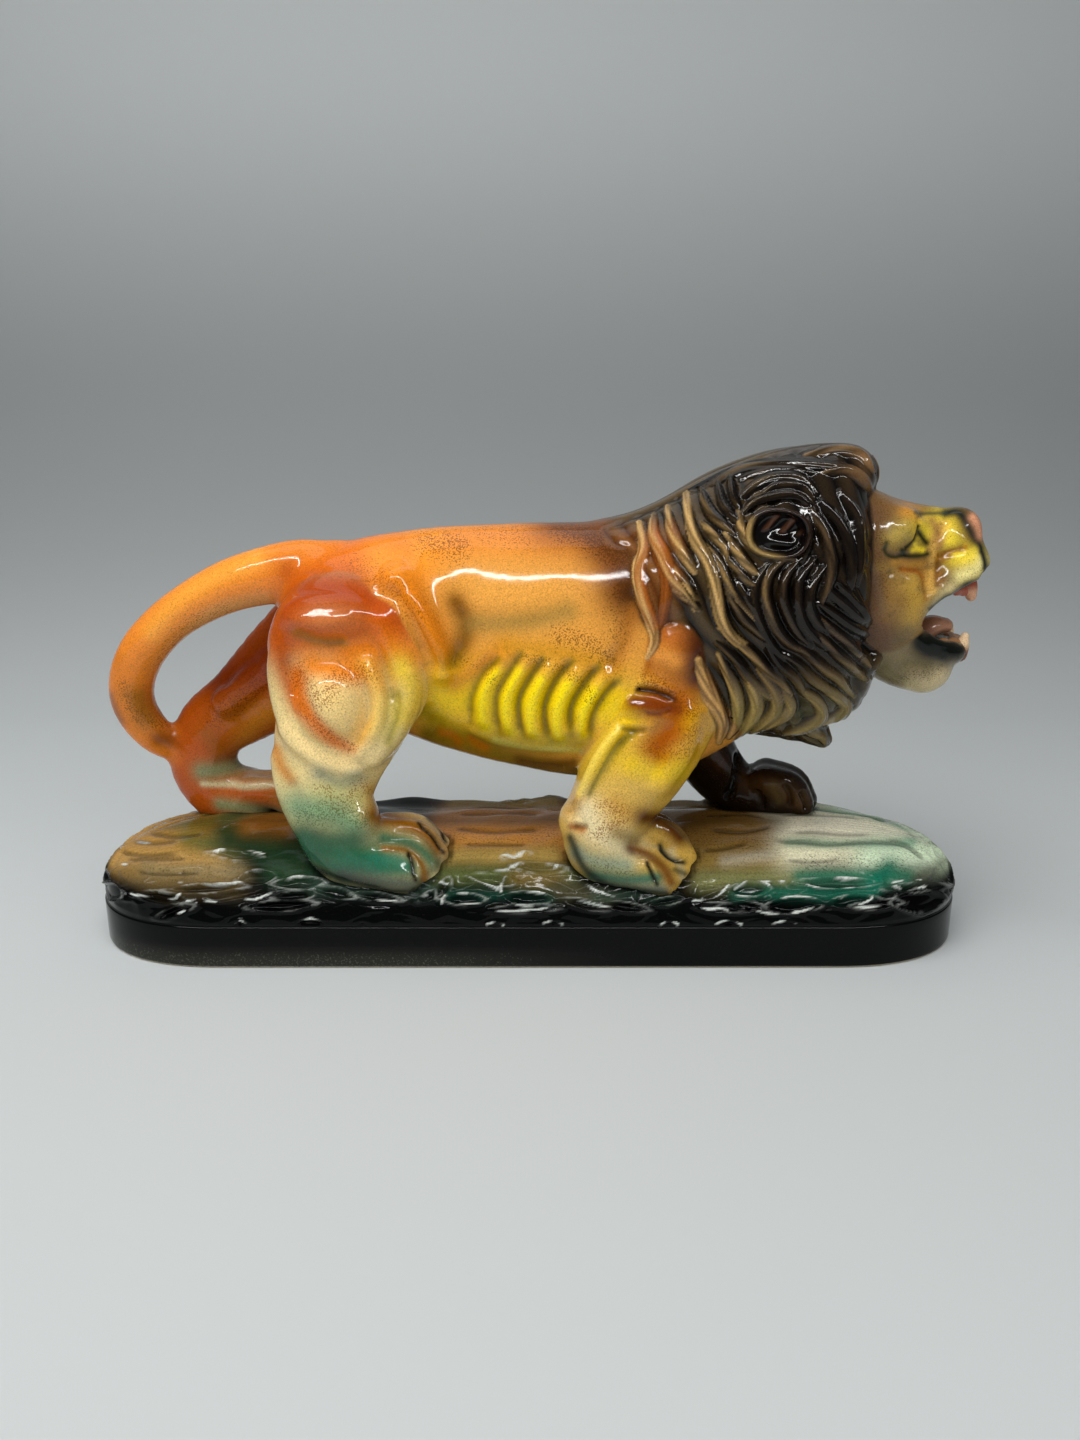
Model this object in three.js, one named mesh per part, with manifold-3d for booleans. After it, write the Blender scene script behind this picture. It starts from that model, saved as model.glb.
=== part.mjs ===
// A glazed earthenware lion, roaring as it walks along a log-shaped plinth, in
// the separate slip castings that the potter lutes together before firing.
// Millimetres, +Z up, +X towards the nose. The lion's right flank is at -Y.
// The origin is the middle of the bounding box, on the table.
import * as THREE from "three";
import { mergeVertices } from "three/addons/utils/BufferGeometryUtils.js";
import Module from "manifold-3d";

// Driving dimensions of the plinth
const PLINTH_LENGTH = 388;
const PLINTH_DEPTH = 104;
const PLINTH_END = 64; // how far each rounded end reaches back along the side
const PLINTH_CROWN = 47; // height of the log's ridge above the table
const PLINTH_FALL = 0.04; // share of the ridge's rise that is lost at the front end
const END_FULLNESS = 0.4; // how much sooner the log rises to its full height at its ends, 0 to 1
const BAND_HEIGHT = 19; // the smooth upright band round the foot
const PLINTH_WALL = 6;
const CHIP_LENGTH = 24; // chips like bark round the side of the log, above the band
const CHIP_RELIEF = 1.2;

// Where the lion stands, along the plinth and either side of its middle
const HIP_X = -80;
const SHOULDER_X = 50;
const POLL_X = 128; // the top of the head, just behind the brow
const HIND_STANCE = 33;
const FORE_STANCE = 33;

// The paws stand on the log's shoulders, lower than its ridge
const FOOTING = PLINTH_CROWN - 6;

// Heights above that footing
const BACK_HEIGHT = 141;
const BELLY_HEIGHT = 30;
const JAW_DROP = 61; // from the back's height down to the chin's centre line

// Half widths across the body
const HIP_WIDTH = 35;
const RIB_WIDTH = 40;
const MANE_WIDTH = 45;
const CHEEK_WIDTH = 29;
const MUZZLE_WIDTH = 15.5;

// Walls, teeth and joints
const TAIL_THICKNESS = 20;
const FANG_LENGTH = 9;
const FANG_RADIUS = 2.8;
const EAR_LENGTH = 27;
const EAR_HEIGHT = 20;
const EAR_DEPTH = 8;
const EAR_SEAT = 1.8; // how far the cup's floor stands out from the mane beneath its locks
const LUTE = 0.3; // the film of slip between two castings
const MANE_LOCKS = 11; // rolls of hair counted round the neck
const LOCK_RELIEF = 3;
const TOE_RELIEF = 2.4;

const wasm = await Module();
wasm.setup();

// Closed geometry to a solid that can be joined and cut, faces outwards.
function solid(geometry) {
  const bare = new THREE.BufferGeometry()
    .setAttribute("position", geometry.getAttribute("position"))
    .setIndex(geometry.index);
  const merged = mergeVertices(bare, 1e-4);
  const triVerts = new Uint32Array(merged.index.array);
  const vertProperties = merged.attributes.position.array;
  const made = new wasm.Manifold(new wasm.Mesh({ numProp: 3, vertProperties, triVerts }));
  if (made.volume() > 0) return made;
  for (let i = 0; i < triVerts.length; i += 3) {
    [triVerts[i + 1], triVerts[i + 2]] = [triVerts[i + 2], triVerts[i + 1]];
  }
  return new wasm.Manifold(new wasm.Mesh({ numProp: 3, vertProperties, triVerts }));
}

// The largest body of a cut: crumbs that a cut leaves behind fall off.
function largest(cut) {
  return cut.decompose().reduce((a, b) => (a.volume() > b.volume() ? a : b));
}

function geometryOf(shape) {
  const mesh = shape.getMesh();
  const geometry = new THREE.BufferGeometry();
  geometry.setAttribute("position", new THREE.BufferAttribute(new Float32Array(mesh.vertProperties), 3));
  geometry.setIndex(new THREE.BufferAttribute(new Uint32Array(mesh.triVerts), 1));
  const faceted = geometry.toNonIndexed();
  faceted.computeVertexNormals();
  return faceted;
}

// A skin over closed rings of points: quads between neighbouring rings, and a
// fan to a pole at each end.
function ringSkin(rings, firstPole, lastPole) {
  const sides = rings[0].length;
  const points = [firstPole, ...rings.flat(), lastPole];
  const index = [];
  for (let i = 0; i < sides; i += 1) {
    const next = (i + 1) % sides;
    index.push(0, 1 + next, 1 + i);
    for (let ring = 0; ring < rings.length - 1; ring += 1) {
      const a = 1 + ring * sides;
      const b = a + sides;
      index.push(a + i, a + next, b + next, a + i, b + next, b + i);
    }
    const last = 1 + (rings.length - 1) * sides;
    index.push(last + i, last + next, points.length - 1);
  }
  const geometry = new THREE.BufferGeometry().setFromPoints(points);
  return geometry.setIndex(index);
}

// A limb is a string of beads [x, y, z, radius in side view, half width across]
// that one smooth skin is drawn over. Each end is a dome, as deep as a share of
// its bead's radius.
function limb(beads, { sides = 16, steps = 3, ends = [1, 1], grow = 0, relief = () => 0 } = {}) {
  const path = new THREE.CatmullRomCurve3(beads.map(([x, y, z]) => new THREE.Vector3(x, y, z)));
  const girth = new THREE.CatmullRomCurve3(beads.map(([, , , r, w]) => new THREE.Vector3(r, w, 0)));
  const across = new THREE.Vector3(0, 1, 0);
  const place = (t, along, shrink) => {
    const tangent = path.getTangent(t);
    const side = across.clone().addScaledVector(tangent, -across.dot(tangent)).normalize();
    const up = tangent.clone().cross(side);
    const size = girth.getPoint(t);
    const reach = size.x * ends[Math.round(t)] + grow;
    const centre = path.getPoint(t).addScaledVector(tangent, along * reach);
    const ring = [];
    for (let i = 0; i < sides; i += 1) {
      const angle = (2 * Math.PI * i) / sides;
      const swell = relief(t, angle) * shrink;
      const r = (size.x + grow + swell) * shrink;
      const w = (size.y + grow + swell) * shrink;
      const point = centre.clone().addScaledVector(up, r * Math.cos(angle));
      ring.push(point.addScaledVector(side, w * Math.sin(angle)));
    }
    return { ring, centre };
  };
  const domeAngles = [Math.PI / 6, Math.PI / 3];
  const start = domeAngles.map((a) => place(0, -Math.sin(a), Math.cos(a)).ring).reverse();
  const end = domeAngles.map((a) => place(1, Math.sin(a), Math.cos(a)).ring);
  const count = (beads.length - 1) * steps;
  const middle = Array.from({ length: count + 1 }, (_, k) => place(k / count, 0, 1).ring);
  return solid(ringSkin([...start, ...middle, ...end], place(0, -1, 0).centre, place(1, 1, 0).centre));
}

// Above the band, the log is fuller at its ends, and sinks towards the lion's nose.
function fallen(z, x) {
  if (z <= BAND_HEIGHT) return z;
  const pastStraight = Math.max(0, Math.abs(x) - PLINTH_LENGTH / 2 + PLINTH_END) / PLINTH_END;
  const rise = (z - BAND_HEIGHT) / (PLINTH_CROWN - BAND_HEIGHT);
  const fall = 1 - PLINTH_FALL * Math.max(0, (2 * x) / PLINTH_LENGTH) ** 1.5;
  return BAND_HEIGHT + (PLINTH_CROWN - BAND_HEIGHT) * rise ** (1 - END_FULLNESS * pastStraight) * fall;
}

// The plinth's plan is a long oval with straight sides. inset draws it in, and
// chip draws each point of the ring out or in from there.
function plinthRing(inset, z, { perSide = 1, chip = () => 0 } = {}) {
  const squareness = 2.3;
  const perEnd = 14;
  const straight = PLINTH_LENGTH / 2 - PLINTH_END;
  const ring = [];
  const place = (end, along, cos, sin) => {
    const drawn = inset - chip(ring.length);
    const x = end * (along + (PLINTH_END - drawn) * cos);
    ring.push(new THREE.Vector3(x, (PLINTH_DEPTH / 2 - drawn) * sin, fallen(z, x)));
  };
  for (const end of [1, -1]) {
    for (let i = 0; i <= perEnd; i += 1) {
      const a = (end > 0 ? -Math.PI / 2 : Math.PI / 2) + (Math.PI * i) / perEnd;
      const cos = Math.abs(Math.cos(a)) ** (2 / squareness);
      place(end, straight, cos, Math.sign(Math.sin(a)) * Math.abs(Math.sin(a)) ** (2 / squareness));
    }
    for (let i = 1; i < perSide; i += 1) place(end, straight * (1 - (2 * i) / perSide), 0, end);
  }
  return ring;
}

// The log's back: how high it stands at a share of the way from edge to ridge.
function logHeight(share) {
  return BAND_HEIGHT + (PLINTH_CROWN - BAND_HEIGHT) * Math.sqrt(1 - (1 - share) ** 2.2);
}

function plinthSkin(grow = 0) {
  const ridgeInset = PLINTH_DEPTH / 2 - 1;
  const perSide = 2 * Math.round((PLINTH_LENGTH - 2 * PLINTH_END) / CHIP_LENGTH);
  const chippedShares = [0.025, 0.08, 0.17, 0.3];
  const footRound = 1.2;
  const rings = [
    plinthRing(footRound - grow, -grow, { perSide }),
    plinthRing(-grow, 3, { perSide }),
    plinthRing(-grow, BAND_HEIGHT - 1, { perSide }),
    plinthRing(-grow, BAND_HEIGHT + grow, { perSide }),
  ];
  chippedShares.forEach((share, row) => {
    const chip = (column) => CHIP_RELIEF * ((column + row) % 2 ? 1 : -1);
    rings.push(plinthRing(share * ridgeInset + CHIP_RELIEF - grow, logHeight(share) + grow, { perSide, chip }));
  });
  for (const share of [0.5, 0.75, 1]) {
    rings.push(plinthRing(share * ridgeInset - grow, logHeight(share) + grow, { perSide }));
  }
  const foot = new THREE.Vector3(0, 0, -grow);
  return solid(ringSkin(rings, foot, new THREE.Vector3(0, 0, PLINTH_CROWN + grow)));
}

function plinthHollow() {
  const below = 1;
  const rings = [plinthRing(PLINTH_WALL, -below)];
  for (const share of [0.05, 0.2, 0.5, 1]) {
    const inset = PLINTH_WALL + share * (PLINTH_DEPTH / 2 - PLINTH_WALL - 1);
    rings.push(plinthRing(inset, logHeight(share) - PLINTH_WALL));
  }
  const top = new THREE.Vector3(0, 0, PLINTH_CROWN - PLINTH_WALL);
  return solid(ringSkin(rings, new THREE.Vector3(0, 0, -below), top));
}

// Beads are written from the footing, so the lion rises with its plinth.
const standing = (beads) => beads.map(([x, y, z, r, w]) => [x, y, z + FOOTING, r, w]);
const trunkMiddle = (BACK_HEIGHT + BELLY_HEIGHT) / 2;
const trunkDepth = (BACK_HEIGHT - BELLY_HEIGHT) / 2;

const TRUNK = standing([
  [HIP_X - 8, 0, BACK_HEIGHT - 42, 35, HIP_WIDTH - 2],
  [HIP_X + 16, 0, BACK_HEIGHT - 43.5, 41, HIP_WIDTH],
  [HIP_X + 46, 0, BACK_HEIGHT - 49, 48, HIP_WIDTH],
  [(HIP_X + SHOULDER_X) / 2 + 12, 0, trunkMiddle + 1, trunkDepth - 1, RIB_WIDTH - 2],
  [SHOULDER_X - 24, 0, trunkMiddle, trunkDepth + 1, RIB_WIDTH],
  [SHOULDER_X + 2, 0, trunkMiddle + 3, trunkDepth + 2, RIB_WIDTH],
  [SHOULDER_X + 26, 0, trunkMiddle + 14, trunkDepth - 3, RIB_WIDTH - 4],
]);

const MANE = standing([
  [POLL_X - 65, 0, BACK_HEIGHT - 46, 53, MANE_WIDTH - 6],
  [POLL_X - 49, 0, BACK_HEIGHT - 40, 55, MANE_WIDTH - 1],
  [POLL_X - 32, 0, BACK_HEIGHT - 34, 58, MANE_WIDTH + 2],
  [POLL_X - 14, 0, BACK_HEIGHT - 30, 62, MANE_WIDTH + 1],
  [POLL_X + 1, 0, BACK_HEIGHT - 28, 60, MANE_WIDTH - 4],
]);

const FORELOCK = standing([
  [POLL_X - 30, 0, BACK_HEIGHT + 10, 20, 22],
  [POLL_X - 4, 0, BACK_HEIGHT + 20.5, 16, 21],
  [POLL_X + 7, 0, BACK_HEIGHT + 22, 13, 18],
]);

const BEARD = standing([
  [POLL_X - 12, 0, BACK_HEIGHT - 82, 15, 15],
  [POLL_X - 2, 0, BACK_HEIGHT - 90, 9, 11],
  [POLL_X + 4, 0, BACK_HEIGHT - 95, 5, 6],
]);

const HEAD = standing([
  [POLL_X + 4, 0, BACK_HEIGHT - 23, 34, CHEEK_WIDTH + 1],
  [POLL_X + 20, 0, BACK_HEIGHT - 21, 32, CHEEK_WIDTH],
  [POLL_X + 37, 0, BACK_HEIGHT - 15, 21, (CHEEK_WIDTH + MUZZLE_WIDTH) / 2],
  [POLL_X + 53, 0, BACK_HEIGHT - 13.5, 16, MUZZLE_WIDTH],
]);

const jawHeight = BACK_HEIGHT - JAW_DROP;

const JAW = standing([
  [POLL_X + 12, 0, jawHeight + 12, 19, CHEEK_WIDTH - 6],
  [POLL_X + 28, 0, jawHeight + 5, 16, MUZZLE_WIDTH + 4],
  [POLL_X + 42, 0, jawHeight, 13, MUZZLE_WIDTH - 1],
  [POLL_X + 53, 0, jawHeight, 10.5, MUZZLE_WIDTH - 3],
]);

const TONGUE = standing([
  [POLL_X + 36, 0, jawHeight + 11, 3.5, 8],
  [POLL_X + 46, 0, jawHeight + 13.5, 4.5, 8],
  [POLL_X + 53, 0, jawHeight + 12, 3, 6.5],
]);

const LEGS = {
  right_fore_leg: standing([
    [SHOULDER_X + 14, -FORE_STANCE + 7, 88, 26, 17],
    [SHOULDER_X + 3, -FORE_STANCE + 3, 58, 26, 18],
    [SHOULDER_X - 10, -FORE_STANCE, 36, 21, 17],
    [SHOULDER_X - 18, -FORE_STANCE, 18, 18, 15.5],
    [SHOULDER_X - 10, -FORE_STANCE, 1, 16.5, 16],
    [SHOULDER_X + 6, -FORE_STANCE, -3, 14.5, 17],
  ]),
  left_fore_leg: standing([
    [SHOULDER_X + 14, FORE_STANCE - 9, 80, 26, 17],
    [SHOULDER_X + 20, FORE_STANCE - 6, 54, 22, 17],
    [SHOULDER_X + 32, FORE_STANCE - 3, 32, 17, 15.5],
    [SHOULDER_X + 44, FORE_STANCE - 3, 15, 15, 15],
    [SHOULDER_X + 58, FORE_STANCE - 3, 6, 14.5, 16.5],
    [SHOULDER_X + 74, FORE_STANCE - 3, 2, 12.5, 17],
  ]),
  right_hind_leg: standing([
    [HIP_X + 4, -HIND_STANCE + 10, 90, 33, 17],
    [HIP_X + 3, -HIND_STANCE + 5, 64, 31, 18],
    [HIP_X - 6, -HIND_STANCE + 1, 39, 24, 15.5],
    [HIP_X - 2, -HIND_STANCE, 20, 19, 15],
    [HIP_X + 6, -HIND_STANCE, 3, 17, 16],
    [HIP_X + 24, -HIND_STANCE, 0, 14.5, 17],
    [HIP_X + 34, -HIND_STANCE, -2, 12.5, 16.5],
  ]),
  left_hind_leg: standing([
    [HIP_X - 14, HIND_STANCE - 11, 88, 31, 16],
    [HIP_X - 34, HIND_STANCE - 7, 70, 26, 16],
    [HIP_X - 56, HIND_STANCE - 5, 53, 19, 14],
    [HIP_X - 74, HIND_STANCE - 5, 41, 16.5, 12.5],
    [HIP_X - 79, HIND_STANCE - 5, 24, 16, 13],
    [HIP_X - 70, HIND_STANCE - 5, 9, 15, 14],
    [HIP_X - 50, HIND_STANCE - 5, 3, 13.5, 16],
    [HIP_X - 34, HIND_STANCE - 5, 1, 12, 16],
  ]),
};

const tailRadius = TAIL_THICKNESS / 2;
const TAIL = standing([
  [HIP_X - 22, 0, BACK_HEIGHT - 22, tailRadius + 5, tailRadius + 4],
  [HIP_X - 48, 1, BACK_HEIGHT - 26.5, tailRadius + 2, tailRadius + 1],
  [HIP_X - 72, 4, 102.5, tailRadius, tailRadius],
  [HIP_X - 89, 8, 87, tailRadius, tailRadius],
  [HIP_X - 101, 13, 71, tailRadius, tailRadius],
  [HIP_X - 104, 17, 56, tailRadius, tailRadius],
  [HIP_X - 98, 20, 42, tailRadius - 0.5, tailRadius - 1],
  [HIP_X - 88, 23, 34, tailRadius - 2, tailRadius - 2],
]);

// Four toes part the front of a paw, which is the last stretch of a leg.
function toeRelief(t, angle) {
  const front = THREE.MathUtils.smoothstep(t, 0.8, 0.98);
  const top = Math.cos(angle) > -0.1 ? 1 : 0;
  return -TOE_RELIEF * front * top * (1 - Math.abs(Math.sin(4.5 * angle)));
}

// Rolls of hair that wind once, gently, from nape to throat.
function hairRelief(t, angle) {
  const flow = MANE_LOCKS * angle + 2.4 * Math.sin(Math.PI * t) + 1.5 * Math.cos(angle);
  return LOCK_RELIEF * Math.abs(Math.sin(flow / 2));
}

function maneSkin(grow) {
  const collar = limb(MANE, { sides: 44, steps: 4, ends: [0.35, 0.3], grow, relief: hairRelief });
  const forelock = limb(FORELOCK, { ends: [0.3, 0.8], grow });
  return collar.add(forelock).add(limb(BEARD, { sides: 12, grow }));
}

// The open mouth: a hollow across the face that closes at the cheeks.
function mouth(grow) {
  const middle = jawHeight + 22;
  const beads = standing([
    [POLL_X + 50, 0, middle - 1, 5, CHEEK_WIDTH],
    [POLL_X + 60, 0, middle, 8, CHEEK_WIDTH],
    [POLL_X + 78, 0, middle + 1, 12, CHEEK_WIDTH],
  ]);
  return limb(beads, { sides: 14, steps: 2, grow });
}

const headSkin = (grow) => limb(HEAD, { sides: 24, steps: 4, ends: [0.3, 1], grow }).subtract(mouth(-grow));
const jawSkin = (grow) => limb(JAW, { ends: [0.5, 1], grow }).subtract(mouth(-grow));

// A shallow cup: the wall of a dish, turned about its axis and drawn out oval.
function ear(side, grow) {
  const outer = EAR_HEIGHT / 2 + grow;
  const wall = 3.2 + 2 * grow;
  const profile = [
    [0, -grow],
    [outer * 0.7, 0.5 - grow],
    [outer, EAR_DEPTH * 0.6],
    [outer - 0.4, EAR_DEPTH + grow],
    [outer - wall, EAR_DEPTH * 0.8 + grow],
    [outer * 0.4, wall + 0.4],
    [0, wall],
  ];
  const dish = new THREE.LatheGeometry(profile.map(([r, h]) => new THREE.Vector2(r, h)), 20);
  dish.scale(EAR_LENGTH / EAR_HEIGHT, 1, 1); // the lathe's own axis is Y
  if (side < 0) dish.rotateX(Math.PI);
  const collar = 0.82 * (MANE_WIDTH + 2); // half width of the mane at the ears' height
  dish.translate(POLL_X - 31, side * (collar + EAR_SEAT), FOOTING + BACK_HEIGHT - 1);
  return solid(dish);
}

function fang(x, side, root, direction, grow) {
  const profile = [
    [0, -grow],
    [FANG_RADIUS + grow, -grow],
    [FANG_RADIUS * 0.8 + grow, FANG_LENGTH * 0.5],
    [FANG_RADIUS * 0.35 + grow, FANG_LENGTH * 0.92],
    [0, FANG_LENGTH + grow],
  ];
  const cone = new THREE.LatheGeometry(profile.map(([r, h]) => new THREE.Vector2(r, h)), 10);
  cone.rotateX((direction * Math.PI) / 2);
  cone.translate(x, side * (MUZZLE_WIDTH - 7), root + FOOTING);
  return solid(cone);
}

// Teeth are rooted in the roof and the floor of the mouth.
const upperGum = { x: POLL_X + 62, z: jawHeight + 37 };
const lowerGum = { x: POLL_X + 59, z: jawHeight + 6 };

const leg = (name, grow) => limb(LEGS[name], { sides: 28, grow, relief: toeRelief });

// Every casting's outer skin, in the order they are luted on. Each one is
// trimmed to all those before it, so the mane's locks are dressed round whole ears.
const SKINS = {
  plinth: plinthSkin,
  trunk: (grow) => limb(TRUNK, { sides: 24, ends: [0.55, 0.5], grow }),
  right_ear: (grow) => ear(-1, grow),
  left_ear: (grow) => ear(1, grow),
  mane: maneSkin,
  right_hind_leg: (grow) => leg("right_hind_leg", grow),
  left_hind_leg: (grow) => leg("left_hind_leg", grow),
  right_fore_leg: (grow) => leg("right_fore_leg", grow),
  left_fore_leg: (grow) => leg("left_fore_leg", grow),
  tail: (grow) => limb(TAIL, { sides: 12, grow }),
  head: headSkin,
  lower_jaw: jawSkin,
  tongue: (grow) => limb(TONGUE, { sides: 10, steps: 2, grow }),
  upper_right_fang: (grow) => fang(upperGum.x, -1, upperGum.z, -1, grow),
  upper_left_fang: (grow) => fang(upperGum.x, 1, upperGum.z, -1, grow),
  lower_right_fang: (grow) => fang(lowerGum.x, -1, lowerGum.z, 1, grow),
  lower_left_fang: (grow) => fang(lowerGum.x, 1, lowerGum.z, 1, grow),
};

const castings = {};
const luted = [];
for (const [name, skin] of Object.entries(SKINS)) {
  const trimmed = luted.reduce((shape, neighbour) => shape.subtract(neighbour), skin(0));
  castings[name] = largest(trimmed);
  luted.push(skin(LUTE));
}
castings.plinth = castings.plinth.subtract(plinthHollow());

// Glaze colours, one per casting
const GLAZE = {
  plinth: 0x1b1d1c,
  trunk: 0xd98a33,
  mane: 0x2b1a12,
  right_fore_leg: 0xdfa641,
  left_fore_leg: 0x33241a,
  right_hind_leg: 0xdcc486,
  left_hind_leg: 0xb2592a,
  tail: 0xd57a34,
  head: 0xa98a4c,
  lower_jaw: 0x9c9478,
  tongue: 0xb97a63,
  right_ear: 0x34241a,
  left_ear: 0x34241a,
  upper_right_fang: 0xd9a98c,
  upper_left_fang: 0xd9a98c,
  lower_right_fang: 0xd9a98c,
  lower_left_fang: 0xd9a98c,
};

const lion = new THREE.Group();
for (const [name, shape] of Object.entries(castings)) {
  const glaze = new THREE.MeshStandardMaterial({ color: GLAZE[name], roughness: 0.12, metalness: 0 });
  const mesh = new THREE.Mesh(geometryOf(shape), glaze);
  mesh.name = name;
  lion.add(mesh);
}

// The nose overhangs the plinth, so the whole is slid back to centre its box.
const box = new THREE.Box3().setFromObject(lion);
lion.position.x = -(box.min.x + box.max.x) / 2;

export default lion;
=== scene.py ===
"""A glazed earthenware lion roaring on a log-shaped plinth, modelled and glazed as its potter would.

Sizes are in millimetres, measured from the middle of the plinth on the table, until a
finished skin is handed to Blender in metres.
"""
import math

import bpy
import numpy as np
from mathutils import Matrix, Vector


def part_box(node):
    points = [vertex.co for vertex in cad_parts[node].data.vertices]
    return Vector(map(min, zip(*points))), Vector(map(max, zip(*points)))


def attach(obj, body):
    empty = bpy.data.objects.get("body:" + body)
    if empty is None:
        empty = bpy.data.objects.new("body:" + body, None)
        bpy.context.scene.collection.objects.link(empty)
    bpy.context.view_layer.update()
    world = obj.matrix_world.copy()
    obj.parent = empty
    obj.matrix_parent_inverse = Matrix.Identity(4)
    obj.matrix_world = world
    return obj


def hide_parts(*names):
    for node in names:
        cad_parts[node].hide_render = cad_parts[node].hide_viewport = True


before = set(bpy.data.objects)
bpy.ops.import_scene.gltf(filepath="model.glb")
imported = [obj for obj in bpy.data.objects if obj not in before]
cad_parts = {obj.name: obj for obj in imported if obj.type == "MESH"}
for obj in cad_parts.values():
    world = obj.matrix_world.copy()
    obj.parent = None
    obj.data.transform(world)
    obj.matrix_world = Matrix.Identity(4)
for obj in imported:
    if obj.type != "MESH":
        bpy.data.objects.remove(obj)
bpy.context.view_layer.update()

# The eye and its lens
# A phone held a little above the lion's back, looking slightly down on it. The same
# eye point serves as the drawing point for every carved stroke and sprayed colour.
MM = 0.001
plinth_low, plinth_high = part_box("plinth")
PLINTH_X = (plinth_low[0] + plinth_high[0]) / 2 / MM
EYE = np.array([5.0, -450.0, 220.0])
EYE_PITCH = math.radians(15.5)
LENS_MM = 26.0
SENSOR_MM = 36.0
DRAWING_PLANE = 33.0

lens = bpy.data.cameras.new("phone_lens")
lens.lens = LENS_MM
lens.sensor_width = SENSOR_MM
lens.clip_start = 0.02
camera = bpy.data.objects.new("phone", lens)
camera.location = [(EYE[0] + PLINTH_X) * MM, EYE[1] * MM, EYE[2] * MM]
camera.rotation_euler = (math.pi / 2 - EYE_PITCH, 0, 0)
bpy.context.scene.collection.objects.link(camera)
bpy.context.scene.camera = camera


def drawn(points):
    """Where points fall on the drawing plane, seen from the eye, or from its mirror image for the far flank.

    (u, v) is (x, z) scaled about the eye by (eye distance - plane) / (eye distance - |y|).
    """
    scale = (-EYE[1] - DRAWING_PLANE) / (-EYE[1] - np.abs(points[:, 1]))
    return EYE[0] + (points[:, 0] - EYE[0]) * scale, EYE[2] + (points[:, 2] - EYE[2]) * scale


# The plinth
# A hollow slip casting shaped like a log laid on its side. A smooth upright band runs
# round its foot, above it the clay is chipped like bark, and the top is worn smooth.
BAND = 19.0
PLINTH_HALF_LENGTH = (plinth_high[0] - plinth_low[0]) / 2 / MM
PLINTH_HALF_DEPTH = (plinth_high[1] - plinth_low[1]) / 2 / MM
PLINTH_CROWN = plinth_high[2] / MM
PLINTH_END = 64.0
PLINTH_FALL = 0.04
END_FULLNESS = 0.4
PLINTH_WALL = 6.0
PLAN_SQUARENESS = 2.3
ARCH_SQUARENESS = 2.2


def log_top(x, y):
    """Height of the log's smooth top: a round-shouldered arch, fuller at its ends, lower towards the front.

    The plan is a pair of half superellipses with straight sides between them. With e how far out
    in that plan a point lies, from 0 to 1, the arch is (1 - e^2.2)^(1/2).
    """
    straight = PLINTH_HALF_LENGTH - PLINTH_END
    over = np.maximum(np.abs(x) - straight, 0) / PLINTH_END
    side = np.abs(y) / PLINTH_HALF_DEPTH
    edge = np.clip((over**PLAN_SQUARENESS + side**PLAN_SQUARENESS) ** (1 / PLAN_SQUARENESS), 0, 1)
    arch = np.sqrt(1 - edge**ARCH_SQUARENESS) ** (1 - END_FULLNESS * np.minimum(over, 1))
    fall = 1 - PLINTH_FALL * np.clip(x / PLINTH_HALF_LENGTH, 0, 1) ** 1.5
    return BAND + (PLINTH_CROWN - BAND) * arch * fall


# The trunk
# The body is one slip casting from rump to shoulders, with the fold of skin before each thigh. Like
# every casting it is a solid given by its signed distance, so that it can be luted to its neighbours.
PITCH = 1.5
FAR_OFF = 1000.0


def through(beads, steps):
    """A Catmull-Rom curve through beads, with steps to each span: the mean of two parabolas."""
    beads = np.asarray(beads, float)
    padded = np.concatenate([2 * beads[:1] - beads[1:2], beads, 2 * beads[-1:] - beads[-2:-1]])
    t = np.linspace(0, 1, steps, endpoint=False)[:, None, None]
    a, b, c, d = (padded[i:len(padded) - 3 + i] for i in range(4))
    curve = 0.5 * (2 * b + (c - a) * t + (2 * a - 5 * b + 4 * c - d) * t**2 + (3 * b - a - 3 * c + d) * t**3)
    return np.concatenate([curve.transpose(1, 0, 2).reshape(-1, beads.shape[1]), beads[-1:]])


def mirrored(beads):
    """The same beads on the far flank."""
    return [(x, -y, z, *girth) for x, y, z, *girth in beads]


def rope(beads, steps=4):
    """A string of beads (x, y, z, radius in side view, half width) under one skin.

    Distance to the nearest of the cones that join neighbouring beads, with y
    stretched by radius over half width.
    """
    string = through(beads, steps)
    reach = string[:, 3:5].max(axis=1)[:, None]

    def distance(x, y, z):
        near = np.full(np.broadcast(x, y, z).shape, FAR_OFF, np.float32)
        for a, b in zip(string[:-1], string[1:]):
            flat = (a[3] + b[3]) / (a[4] + b[4])
            dx, dy, dz = b[0] - a[0], (b[1] - a[1]) * flat, b[2] - a[2]
            px, py, pz = x - a[0], (y - a[1]) * flat, z - a[2]
            t = np.clip((px * dx + py * dy + pz * dz) / (dx * dx + dy * dy + dz * dz), 0, 1)
            apart = np.sqrt((px - t * dx) ** 2 + (py - t * dy) ** 2 + (pz - t * dz) ** 2)
            near = np.minimum(near, apart - a[3] - t * (b[3] - a[3]))
        return near

    return distance, (string[:, :3] - reach).min(axis=0), (string[:, :3] + reach).max(axis=0)


def ball(centre, radii):
    """An ellipsoid: (|p / radii| - 1) times the smallest radius."""
    centre, radii = np.array(centre, float), np.array(radii, float)

    def distance(x, y, z):
        p = np.sqrt(((x - centre[0]) / radii[0]) ** 2 + ((y - centre[1]) / radii[1]) ** 2
                    + ((z - centre[2]) / radii[2]) ** 2)
        return (p - 1) * radii.min()

    return distance, centre - radii, centre + radii


def melt(a, b, softness):
    """The smaller of a and b, less (softness - |a - b|)^2 / (4 softness) where they are that near."""
    overlap = np.maximum(softness - np.abs(a - b), 0) / softness
    return np.minimum(a, b) - overlap * overlap * softness / 4


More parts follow.
